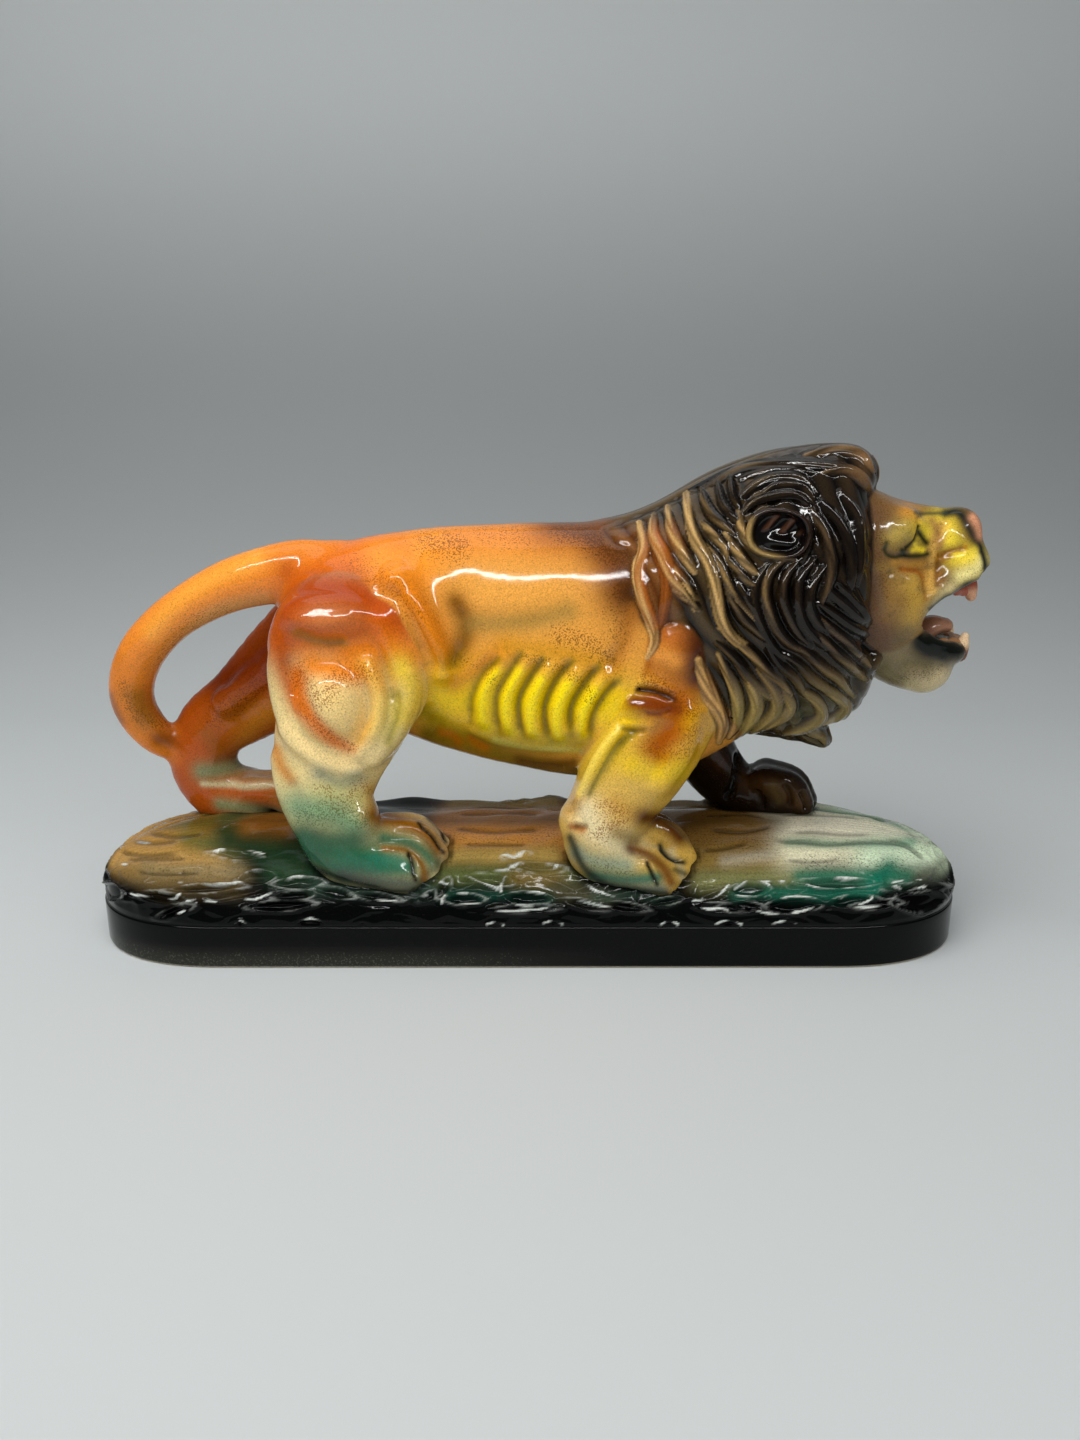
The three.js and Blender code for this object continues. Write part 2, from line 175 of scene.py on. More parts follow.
def joined(softness, *shapes):
    """One solid of several: their distances melted together, with a fillet where they meet."""

    def distance(x, y, z):
        near = shapes[0][0](x, y, z)
        for shape in shapes[1:]:
            near = melt(near, shape[0](x, y, z), softness)
        return near

    return distance, np.min([s[1] for s in shapes], axis=0), np.max([s[2] for s in shapes], axis=0)


fold = [(-53, -26, 161, 6, 7), (-45, -31, 149, 5, 7), (-39, -32, 137, 4.5, 7), (-35, -31, 125, 4, 5)]
trunk = joined(
    8,
    rope([(-75, 0, 141, 33.5, 33), (-58, 0, 138, 40, 33), (-34, 0, 133, 48, 31), (-12, 0, 130, 52, 33),
          (8, 0, 128, 54.7, 37), (30, 0, 126.6, 56.6, 39), (52, 0, 129.5, 57.5, 39), (76, 0, 141, 51, 36)]),
    ball((16, -25, 114), (36, 17, 30)),
    ball((16, 25, 114), (36, 17, 30)),
    rope(fold),
    rope(mirrored(fold)),
)

# It is carved with a loop tool, then sprayed in coats and in mists of coarse droplets. A stroke of the
# tool is (half width, height), of the gun (colour, strength, reach), and then the u and v of each
# point that it passes through. A colour without a reach goes all over.
CARVING = {}
COAT = {}
MIST = {}

CARVING["trunk"] = [
    (3.0, -2.0, -10, 132, -19, 124, -24, 113, -24, 103),
    (2.6, -2.4, -1, 134, -7, 126, -13, 116, -14, 106, -12, 96),
    (2.4, -2.6, 8, 132, 1, 123, -4, 113, -4, 103, -2, 95),
    (2.4, -2.7, 20, 131, 12, 122, 7, 111, 7, 102, 9, 94), (2.4, -2.6, 30, 128, 23, 119, 18, 109, 18, 98),
    (2.4, -2.2, 38, 122, 32, 115, 27, 105, 26, 96),
    (3.4, 1.5, -4, 134, -12, 126, -18, 117, -19, 107, -17, 99),
    (3.4, 1.7, 4, 134, -3, 126, -8, 116, -9, 106, -7, 97),
    (3.6, 1.8, 13, 131, 7, 123, 2, 113, 1, 103, 3, 95),
    (3.6, 1.8, 25, 130, 18, 121, 13, 112, 12, 101, 14, 94), (3.4, 1.6, 35, 126, 28, 117, 23, 107, 23, 96),
    (3.5, -2.2, -57, 163, -50, 153, -45, 143, -40, 132, -36, 122),
    (4.0, 1.3, -50, 160, -42, 148, -36, 135, -33, 125),
    (4.0, -1.6, -30, 156, -26, 145, -25, 138, -29, 131, -34, 124),
    (5.0, -0.8, -25, 147, -12, 147, 0, 145, 10, 149, 18, 153),
    (4.0, -2.0, 40, 162, 41, 148, 38, 134, 30, 126),
    (2.0, 1.0, -28, 103, -20, 98, -12, 95, 0, 93, 10, 92, 22, 91),
    (2.5, -0.8, -30, 99, -20, 94, -10, 90, 4, 88, 18, 87), (6.0, -0.8, -44, 112, -42, 104, -36, 99),
]
COAT["trunk"] = [
    ("#e09a40", 1.0), ("#ea8a30", 0.9, 10, -60, 177, -20, 180, 20, 182, 40, 184),
    ("#b64c0c", 1.0, 17, -108, 150, -100, 158, -88, 165, -75, 163),
    ("#ec7618", 0.9, 10, -100, 172, -80, 175, -62, 175, -50, 168),
    ("#fb9a2a", 0.8, 8, -58, 172, -45, 168, -40, 178), ("#eba548", 0.7, 12, -15, 157, 30, 152),
    ("#e07c08", 0.9, 7, -48, 158, -41, 146, -36, 132),
    ("#825010", 0.9, 4.4, -29, 154, -25.5, 147, -26, 138, -30, 128),
    ("#9c7c3a", 0.75, 5.0, -22, 145, -8, 145, 6, 147, 16, 150),
    ("#f6cf0c", 1.0, 13, -34, 113, -10, 113, 12, 112, 34, 110),
    ("#ffe30f", 0.9, 2.8, -13, 125, -18, 117, -19, 107, -17, 101),
    ("#ffe30f", 0.9, 2.8, -4, 125, -8, 116, -9, 106, -7, 99),
    ("#ffe30f", 0.9, 2.8, 5, 121, 2, 113, 1, 103, 3, 98),
    ("#ffe30f", 0.9, 2.8, 16, 119, 13, 112, 12, 101, 14, 96),
    ("#ffe30f", 0.9, 2.6, 27, 116, 23, 107, 23, 98), ("#d98512", 0.7, 4.5, -30, 120, -22, 126, -10, 134),
    ("#d0901c", 0.7, 4.5, -8, 136, 6, 134, 20, 131, 34, 126),
    ("#8a7208", 0.7, 1.8, -12, 130, -19, 124, -24, 113, -24, 104),
    ("#8a7208", 0.75, 1.8, -3, 132, -7, 126, -13, 116, -14, 106, -12, 98),
    ("#7d6a08", 0.8, 1.8, 6, 130, 1, 123, -4, 113, -4, 103, -2, 97),
    ("#7d6a08", 0.8, 1.8, 18, 129, 12, 122, 7, 111, 7, 102, 9, 95),
    ("#7d6a08", 0.8, 1.8, 29, 127, 23, 119, 18, 109, 18, 98),
    ("#8a7208", 0.75, 1.8, 37, 121, 32, 115, 27, 105, 26, 97),
    ("#9a8608", 0.8, 5, -44, 108, -30, 99, -14, 95, 4, 94, 22, 94),
    ("#7a6a0c", 0.85, 4.5, -42, 98, -24, 93, -8, 87, 12, 83, 26, 80),
    ("#b4ac50", 0.7, 1.3, -14, 96, 0, 92.5, 10, 92, 22, 91),
    ("#b86804", 0.85, 2.2, -36, 99, -32, 98, -29, 95), ("#b86804", 0.85, 2.0, -24, 96, -22, 94, -18, 92),
    ("#5c3c06", 0.8, 2.2, -4, 86.5, 4, 85, 12, 85, 19, 86),
    ("#7a4016", 0.9, 11, 10, 186, 24, 182, 34, 170, 38, 158),
    ("#3c200c", 1.0, 14, 38, 188, 42, 181, 48, 172, 47, 160),
    ("#a8651e", 0.6, 3.5, 42, 150, 40, 138, 36, 128),
]
MIST["trunk"] = [
    ("#8a4c10", 0.13), ("#4c2a10", 0.6, 8, -40, 178, -28, 176), ("#4c2a10", 0.4, 9, -16, 182, -2, 181),
    ("#43240e", 0.75, 8, 14, 184, 26, 180, 38, 172, 40, 160),
    ("#5c3a10", 0.55, 7, 14, 140, 24, 137, 34, 130), ("#5c3a10", 0.4, 8, 36, 150, 38, 140),
    ("#6a5008", 0.5, 4, -2, 132, 10, 128, 20, 122, 28, 112),
    ("#8a3c08", 0.4, 9, -70, 168, -56, 160, -46, 150), ("#7a5008", 0.4, 5, -28, 130, -18, 126, -12, 118),
]

# The hind legs
# Each is cast with its paw, the near one bearing weight and the far one pushed back, and luted to the
# rump. Thigh, hamstring and hock are laid on as pads of clay, and the toes as short rolls.
hind_toes = [
    [(-70, -39, 41, 8.5, 8), (-59, -40.5, 39, 8.5, 8), (-52, -41, 36.5, 7.5, 7)],
    [(-62, -36, 45, 8, 7), (-52, -36, 42, 8, 7), (-44, -36, 37.5, 6.5, 6)],
    [(-60, -30, 51, 8, 7), (-48, -30, 50, 8, 7), (-41, -30, 43, 6.5, 6)],
    [(-62, -22, 51, 8, 7), (-50, -21, 50, 8, 6.5), (-41, -21, 43, 6.5, 6)],
]


def moved(beads, dx, dy, dz, shrink=1.0):
    """Beads slid along, with their radii shrunk."""
    return [(x + dx, y + dy, z + dz, r * shrink, w * shrink) for x, y, z, r, w in beads]


right_hind_leg = joined(
    3,
    rope([(-76, -22, 131, 33, 16), (-77, -25, 110, 29, 16), (-84, -29, 88, 23.5, 15),
          (-86, -32, 73, 20, 14.5), (-82, -33, 60, 18, 15), (-76, -33, 48, 17.5, 16),
          (-63, -32, 44, 14, 15)]),
    ball((-80, -27.5, 147), (22, 15.5, 12)),
    ball((-80, -33, 112), (15.5, 16.5, 19)),
    rope([(-97, -26, 142, 7, 8), (-102, -28, 127, 6, 9), (-100, -32, 111, 6, 9), (-94, -35, 98, 6, 10),
          (-83, -37, 89, 6, 9), (-72, -37, 85, 5, 8)]),
    rope([(-65, -31, 130, 4, 10), (-60.5, -34, 115, 4, 10), (-62, -36, 102, 4, 9), (-69, -37, 93, 4, 8)]),
    rope([(-58, -27, 145, 9, 12), (-51, -29, 129, 8, 12), (-50.5, -30, 114, 7, 12), (-56, -33, 101, 6.5, 10),
          (-64, -35, 90, 5, 9)]),
    rope([(-104, -31, 87, 4.5, 7), (-102, -34, 77, 4.5, 7), (-97, -36, 65, 4.5, 8), (-91, -37, 53, 5, 8)]),
    ball((-84, -35, 70), (13, 14, 10)),
    ball((-71, -38, 62), (8, 10, 10)),
    *[rope(toe) for toe in hind_toes],
)
left_hind_leg = joined(
    3,
    rope([(-84, 22, 131, 32, 17), (-112, 26, 112, 25, 15), (-134, 28, 96, 19, 13), (-151, 28, 84, 16.5, 12),
          (-157, 28, 68, 16, 13), (-150, 28, 53, 15.5, 14), (-134, 28, 47, 14, 16)]),
    rope([(-100, 14, 130, 9, 6), (-122, 15, 113, 8, 6), (-140, 17, 99, 7, 6)]),
    rope([(-98, 36, 112, 12, 9), (-122, 38, 96, 9, 8), (-142, 38, 84, 7, 7)]),
    *[rope(mirrored(moved(toe, -70, 4, 4, 0.95))) for toe in hind_toes],
)

CARVING["right_hind_leg"] = [
    (2.2, -1.2, -95, 142, -88, 138, -80, 136.5, -73, 138), (3.0, 1.0, -98, 148, -85, 145, -70, 147),
    (2.5, -1.0, -90, 126, -92, 116, -89, 106, -82, 98, -75, 95),
    (3.0, 1.2, -98, 128, -99, 116, -94, 104, -86, 96, -76, 91),
    (3.0, 1.2, -68, 130, -63, 121, -61, 110, -65, 100, -71, 95),
    (2.5, -1.3, -57, 120, -54, 109, -56, 100, -59, 91), (4.0, 0.8, -50, 128, -47, 117, -51, 105),
    (2.6, 0.9, -104, 104, -100, 95, -90, 87, -80, 79), (4.0, -1.2, -90, 82, -84, 77, -76, 75, -68, 80),
    (3.0, 1.0, -100, 84, -94, 74, -90, 62, -89, 52), (3.0, -0.9, -96, 66, -82, 66, -72, 63),
    (2.0, -1.2, -70, 46, -61, 50, -51, 47, -44, 39, -42, 31),
    (2.0, -1.2, -63, 54, -52, 54, -45, 51, -39, 44, -36, 38), (1.2, -1.8, -52, 45, -50, 41, -49, 32),
    (1.1, -1.6, -47, 58.5, -41, 53, -36.5, 45), (1.0, -1.4, -43, 61, -38, 56, -35.5, 50),
]
COAT["right_hind_leg"] = [
    ("#e2cb8c", 1.0), ("#ae440a", 1.0, 17, -104, 146, -88, 158, -66, 156, -54, 144),
    ("#c8560a", 0.9, 10, -100, 140, -80, 140, -62, 142), ("#e57a12", 0.9, 9, -72, 133, -60, 134, -48, 132),
    ("#a8480a", 0.8, 4.5, -101, 138, -100, 124, -95, 110),
    ("#ad7a30", 0.7, 2.2, -94, 141, -86, 137.5, -75, 137), ("#f8d488", 0.9, 10, -79, 114, -77, 106),
    ("#ee8618", 0.9, 6, -88, 128, -78, 126, -70, 126),
    ("#d66c12", 0.95, 3.6, -95, 124, -95, 114, -90, 104, -82, 96, -74, 91),
    ("#f0b040", 0.8, 4, -66, 128, -62, 118, -62, 106, -70, 96),
    ("#ebc63c", 0.9, 7, -52, 126, -47, 116, -51, 106), ("#ecd67a", 0.7, 5, -58, 112, -60, 100),
    ("#a09028", 0.7, 2.4, -54, 115, -54.5, 105, -58, 94),
    ("#f0d494", 0.9, 6, -101, 100, -92, 91, -80, 85, -66, 88),
    ("#9ea48c", 0.7, 4, -88, 81, -80, 76, -72, 79), ("#c4b870", 0.8, 6, -84, 71, -72, 69),
    ("#b8862c", 0.7, 3.5, -67, 74, -65, 66, -61, 61), ("#c87a28", 0.8, 3, -106, 92, -104, 84, -100, 78),
    ("#7d9c74", 0.95, 9, -98, 66, -84, 63, -74, 57), ("#2c6644", 1.0, 10, -94, 47, -80, 44, -66, 42),
    ("#24523a", 0.85, 6.5, -97, 53, -88, 50, -76, 50), ("#2f5f46", 0.95, 5, -97, 50, -92, 42, -82, 37),
    ("#256a50", 0.95, 7, -78, 38, -62, 38, -52, 38), ("#4e5a4c", 0.95, 4.5, -80, 34, -64, 31, -48, 30),
    ("#8a560c", 1.0, 5.5, -66, 62, -54, 59, -44, 54, -39, 46),
    ("#3e6a4c", 0.95, 3.6, -62, 52, -52, 50, -45, 45, -41, 40),
    ("#2c7a62", 0.6, 3.0, -66, 42, -58, 42, -54, 40), ("#666a4c", 0.9, 2.6, -49, 30, -44, 34, -39, 40),
    ("#8a5a18", 0.9, 1.8, -62, 47, -52, 46, -46, 40, -45, 32),
    ("#14180f", 1.0, 1.0, -51.5, 45, -50, 41, -49, 32),
    ("#1c150c", 1.0, 1.0, -47, 58.5, -41, 53, -36.5, 45),
    ("#1c150c", 1.0, 0.9, -43, 61, -38, 56, -35.5, 50),
    # Painted shade along the foot of the paw, where it meets the log.
    ("#222c22", 0.95, 2.2, -94, 38, -84, 34, -70, 30, -58, 27, -46, 28),
]
MIST["right_hind_leg"] = [
    ("#8a5c1c", 0.15), ("#a04408", 0.6, 6, -95, 125, -86, 112, -78, 122, -66, 124),
    ("#a04408", 0.5, 4, -92, 108, -84, 98, -74, 93), ("#3a7048", 0.6, 7, -96, 62, -80, 64, -70, 60),
    ("#8a5a10", 0.5, 5, -70, 76, -78, 68, -88, 74), ("#565c50", 0.5, 4, -74, 33, -60, 30, -50, 31),
]

CARVING["left_hind_leg"] = [
    (3.0, -1.2, -120, 122, -132, 112, -144, 108), (3.0, 0.8, -140, 104, -128, 114, -112, 126),
    (2.0, 0.5, -150, 62, -135, 60, -120, 62), (3.0, -0.8, -150, 70, -136, 68, -124, 66),
]
COAT["left_hind_leg"] = [
    ("#b5520e", 1.0), ("#dc8028", 1.0, 11, -58, 112, -56, 136, -62, 158, -80, 172),
    ("#cc6414", 0.8, 8, -72, 118, -74, 140, -88, 158),
    ("#7c2e06", 1.0, 10, -104, 140, -112, 128, -126, 118, -144, 108),
    ("#b0600f", 0.8, 8, -128, 98, -140, 92), ("#c88024", 0.8, 6, -118, 96, -128, 88, -134, 80),
    ("#a05a10", 0.7, 5, -150, 84, -146, 76), ("#7c8a62", 0.9, 5, -154, 66, -140, 66, -124, 66),
    ("#b87428", 0.9, 6, -136, 74, -122, 74, -110, 66), ("#cfc79a", 0.8, 1.5, -154, 60, -138, 59, -120, 60),
    ("#a0682c", 0.8, 5, -118, 54, -106, 50), ("#7a9468", 0.8, 4, -146, 50, -130, 48, -112, 44),
]
MIST["left_hind_leg"] = [
    ("#6e3a10", 0.15), ("#6e2a06", 0.5, 8, -110, 120, -130, 104, -146, 92),
]

# The forelegs
# Each is cast with its paw and luted under the shoulder, the far one in mid stride. The elbow, the
# muscles of the upper arm and the toes are laid on, and the creases over them are cut deep.
fore_toes = [
    [(42, -39, 41, 8.5, 8), (51, -40.5, 38.5, 8.5, 8), (57, -41, 35.5, 7.5, 7)],
    [(46, -36, 45, 8, 7), (57, -36, 42, 8, 7), (64, -36, 36.5, 6.5, 6)],
    [(48, -30, 54, 8, 7), (60, -30, 50, 8, 7), (67, -30, 41, 6.5, 6)],
    [(46, -22, 53, 8, 7), (57, -21, 50, 8, 6.5), (63, -21, 42, 6.5, 6)],
]
right_fore_leg = joined(
    3,
    rope([(60, -24, 132, 24, 17), (55, -27, 106, 24.5, 17), (46, -30, 86, 22.5, 16),
          (37, -33, 70, 18.5, 15.5), (32, -33, 58, 17.5, 15.5), (35, -32, 47, 17.5, 16),
          (47, -32, 43, 14, 15)]),
    ball((61, -30, 135), (13, 16.5, 17)),
    rope([(42, -33, 108, 5, 9), (35, -37, 97, 5, 9), (29, -39, 85, 5, 8), (24.5, -38, 72, 5, 8)]),
    rope([(65, -33, 110, 9, 13), (61, -36, 95, 9, 12), (54, -38, 80, 7, 10)]),
    rope([(43, -36, 112, 4, 7.8), (53, -37, 110, 4.5, 8), (64, -35, 105, 4, 7)]),
    ball((47, -38, 91), (7, 8, 12)),
    ball((19, -33, 60), (6, 9, 7)),
    ball((38, -42, 60), (7, 7, 9)),
    *[rope(toe) for toe in fore_toes],
)
left_fore_leg = joined(
    3,
    rope([(62, 24, 128, 25, 18), (70, 27, 97, 22, 17), (81, 30, 76, 16.5, 15.5), (92, 31, 60, 14, 15),
          (104, 31, 51, 12.5, 16), (119, 30, 50.5, 13.5, 17)]),
    rope([(76, 18, 92, 6, 5), (86, 19, 76, 6, 5), (95, 20, 64, 5, 5)]),
    *[rope(mirrored(moved(toe, 66, 4, 7, 1.0))) for toe in fore_toes],
)

CARVING["right_fore_leg"] = [
    (1.4, -2.2, 43, 117.5, 52, 116.5, 61, 113), (1.5, 0.5, 41, 120, 52, 120, 63, 116),
    (1.6, -0.8, 46, 108, 54, 107, 61, 109), (2.2, 1.0, 38, 102, 46, 102.5, 54, 101),
    (1.2, -1.6, 38, 101, 44, 99.6, 50, 100), (3.0, -1.8, 47, 101, 41, 97, 36, 91, 31, 82, 26, 73, 23, 62),
    (2.6, 1.2, 40, 101, 34, 95, 28, 86, 23, 74, 20, 64), (5.0, -1.5, 74, 130, 72, 120, 74, 108),
    (4.0, 0.8, 40, 124, 42, 114, 40, 104), (1.8, -1.5, 19, 57, 22, 56.5, 26, 57),
    (2.0, 0.8, 17, 64, 18, 59, 23, 60), (2.0, -1.2, 43, 47, 47, 43, 54, 41, 58, 36, 60, 29),
    (2.0, -1.2, 51, 53, 58, 50, 63, 45, 67, 38), (1.8, -1.0, 57, 62, 63, 58, 70, 50),
    (1.2, -1.8, 51.5, 40.5, 53.5, 36, 56, 30), (1.4, -1.8, 56.5, 48.5, 61, 43, 67, 40.5),
]
COAT["right_fore_leg"] = [
    ("#d9ae4c", 1.0), ("#c8702a", 1.0, 15, 50, 140, 62, 138, 66, 128),
    ("#e09a40", 0.8, 6, 48, 134, 54, 128), ("#c97818", 0.9, 7, 46, 130, 54, 126, 64, 122),
    ("#824616", 1.0, 9, 56, 150, 66, 146, 70, 136), ("#6a3a2a", 0.9, 5, 60, 152, 67, 151),
    ("#a0520a", 1.0, 5.5, 48, 142, 47, 130), ("#4a220e", 1.0, 6, 72, 144, 71, 132, 70, 122),
    ("#ec9a3a", 0.9, 3.4, 54, 132, 60, 129), ("#f0c416", 1.0, 7, 42, 114, 40, 102, 34, 92, 28, 82),
    ("#b25c06", 1.0, 7, 52, 112, 62, 112, 66, 106), ("#a65204", 1.0, 9, 62, 102, 54, 91, 60, 86),
    ("#dea414", 0.9, 6, 70, 104, 72, 94, 66, 86), ("#ecc522", 0.9, 6, 44, 84, 54, 80, 64, 82),
    ("#d8b054", 0.8, 7, 34, 76, 48, 72), ("#c4903a", 0.6, 4.5, 36, 68, 44, 62),
    ("#ead8a6", 0.95, 8, 24, 64, 30, 54, 42, 47), ("#c89444", 0.7, 3.2, 18, 64, 21, 70),
    ("#93a084", 0.9, 5, 21, 45, 28, 41, 42, 39), ("#8a7038", 0.8, 4, 38, 54, 46, 50),
    ("#3f6e52", 1.0, 4.4, 28, 34, 42, 32, 56, 33), ("#77806c", 0.9, 3.5, 34, 29, 44, 27.5, 58, 28),
    ("#86761c", 0.8, 1.8, 44, 99, 37, 91, 31, 81, 26, 72),
    ("#fae06a", 0.6, 1.6, 38, 101, 32, 93, 26, 82, 22, 72), ("#5c3006", 1.0, 5, 50, 61, 58, 59, 65, 52),
    ("#6e400f", 0.95, 2.6, 44, 47, 52, 44, 59, 38, 62, 31), ("#b09a68", 0.7, 1.4, 50, 49, 57, 47, 61, 44),
    ("#d8c898", 0.7, 1.6, 62, 46, 66, 38, 67, 33), ("#54401f", 0.8, 2.2, 58, 61, 66, 56, 71, 50),
    ("#a85c14", 0.85, 2.0, 19, 57, 23, 55.5), ("#171b12", 1.0, 1.1, 51.5, 40.5, 53.5, 36, 56, 30),
    ("#1c2018", 1.0, 1.6, 57, 48.5, 61, 43, 67, 40.5), ("#28301f", 0.8, 2.0, 64, 37, 68, 35),
    ("#7c3504", 1.0, 4.4, 44, 112, 52, 111, 61, 109),
    ("#3a1508", 1.0, 1.2, 43.5, 117.5, 52, 116.3, 60.5, 113.2), ("#6a3420", 0.8, 1.2, 50, 107, 55, 106.5),
    # Painted shade along the foot of the paw, where it meets the log.
    ("#26302a", 0.9, 2.2, 18, 52, 24, 38, 34, 30, 46, 27, 60, 26),
]
MIST["right_fore_leg"] = [
    ("#8a5414", 0.14), ("#6a3208", 0.6, 6, 46, 122, 58, 116, 68, 108),
    ("#8a4204", 0.5, 7, 52, 92, 64, 92, 70, 100), ("#9a5a14", 0.6, 6, 32, 66, 40, 62, 30, 54),
    ("#4c6048", 0.5, 4, 28, 40, 44, 34),
]

CARVING["left_fore_leg"] = [
    (2.4, -3.2, 100, 74, 99, 66, 96, 58, 92, 50), (3.5, 1.2, 106, 60, 114, 62, 122, 60, 130, 54),
    (1.4, -2.2, 118, 62, 122, 56, 123, 48), (1.4, -2.2, 126, 58, 130, 52, 131, 46),
    (1.6, -1.6, 106, 58, 110, 52, 111, 46),
]
COAT["left_fore_leg"] = [
    ("#1d1209", 1.0), ("#7a3c12", 1.0, 15, 52, 110, 70, 116, 86, 112),
    ("#c8742a", 1.0, 14, 46, 126, 62, 136, 80, 134), ("#6e5a16", 0.8, 7, 66, 96, 76, 84),
    ("#4c3216", 0.9, 5, 104, 60, 116, 58, 128, 52), ("#5c4a26", 0.7, 2.2, 114, 60, 118, 52),
    ("#0a0705", 1.0, 1.8, 100, 72, 98, 62, 94, 52), ("#55301c", 0.5, 4, 84, 78, 90, 70),
    ("#6a6a48", 0.8, 3.5, 92, 40, 112, 38, 130, 38),
]
MIST["left_fore_leg"] = [
    ("#4a3a24", 0.2), ("#6a5a3a", 0.3, 5, 84, 86, 92, 66),
]

# The tail
# One roll of clay, thick at the rump, curled down and in until its tip is luted to the far hock.
# It is smooth, and shaded by spray alone.
tail = rope([(-84, 0, 163, 12, 12), (-102, 0, 162, 13, 12), (-128, 1, 156, 11.5, 11),
             (-153, 4, 143.5, 10, 10), (-171, 8, 128, 10, 10), (-181, 13, 112, 10, 10),
             (-183, 17, 97, 9.5, 9.5), (-177, 21, 83, 8.5, 8.5), (-168, 25, 75, 7, 7), (-162, 28, 72, 5, 5)])

COAT["tail"] = [
    ("#f08c2e", 1.0), ("#c25a16", 0.9, 7, -92, 158, -100, 163),
    ("#fca63e", 0.9, 5, -116, 168, -134, 160, -150, 150, -164, 136),
    ("#e2b070", 0.8, 4.5, -112, 150, -134, 144, -150, 132, -162, 118, -166, 106),
    ("#d87a1e", 0.7, 5, -182, 122, -186, 110), ("#a06a24", 0.8, 6, -178, 104, -176, 92),
    ("#7c4a34", 0.7, 3.5, -190, 104, -188, 92), ("#80420f", 0.9, 4.5, -172, 82, -162, 78),
]
MIST["tail"] = [
    ("#8a5418", 0.14), ("#a85a10", 0.4, 5, -130, 148, -150, 138, -164, 120),
    ("#6e4418", 0.5, 5, -182, 110, -180, 96, -172, 88),
]

# The mane
# It stands out from the neck as a thick collar pressed from a mould of its own, with a
# crest over the brow and a beard under the chin.


def drum(stations, rounding):
    """A collar of upright elliptical rings (x, lowest z, highest z, half width), its flat ends rounded off.

    Round the rings the distance is (|(z/r, y/w)| - 1) times the smaller half axis;
    along x it is the depth past an end, and a smooth maximum joins the two.
    """
    rings = through(stations, 6)
    start, stop = rings[0, 0], rings[-1, 0]

    def distance(x, y, z):
        low, high, width = (np.interp(x, rings[:, 0], rings[:, i]) for i in (1, 2, 3))
        radius = (high - low) / 2
        reach = np.sqrt(((z - (low + high) / 2) / radius) ** 2 + (y / width) ** 2)
        round_it = (reach - 1) * np.minimum(radius, width)
        past = np.maximum(start - x, x - stop)
        return -melt(-round_it, -past, rounding)

    low = np.array([start, -rings[:, 3].max(), rings[:, 1].min()])
    high = np.array([stop, rings[:, 3].max(), rings[:, 2].max()])
    return distance, low, high


mane = joined(
    3,
    drum([(43, 128, 182, 39), (55, 120, 189, 42), (70, 108, 195, 44.5), (85, 94, 205, 46),
          (100, 90, 211, 46.5), (115, 89, 212.5, 45), (130, 94, 212, 40), (140, 108, 205, 33)], 7),
    rope([(36, 0, 174, 10, 22), (60, 0, 180, 13, 24), (85, 0, 192, 14.5, 23), (110, 0, 199, 15, 22),
          (130, 0, 202, 14, 21), (136, 0, 203, 11, 17)]),
    rope([(116, 0, 100, 14, 16), (126, 0, 92, 8, 11), (132, -2, 87, 4, 6)]),
    rope([(138, -16, 125, 11, 12), (135, -10, 112, 12, 12), (134, 0, 110, 12, 12), (135, 10, 112, 12, 12),
          (138, 16, 125, 11, 12)]),
)

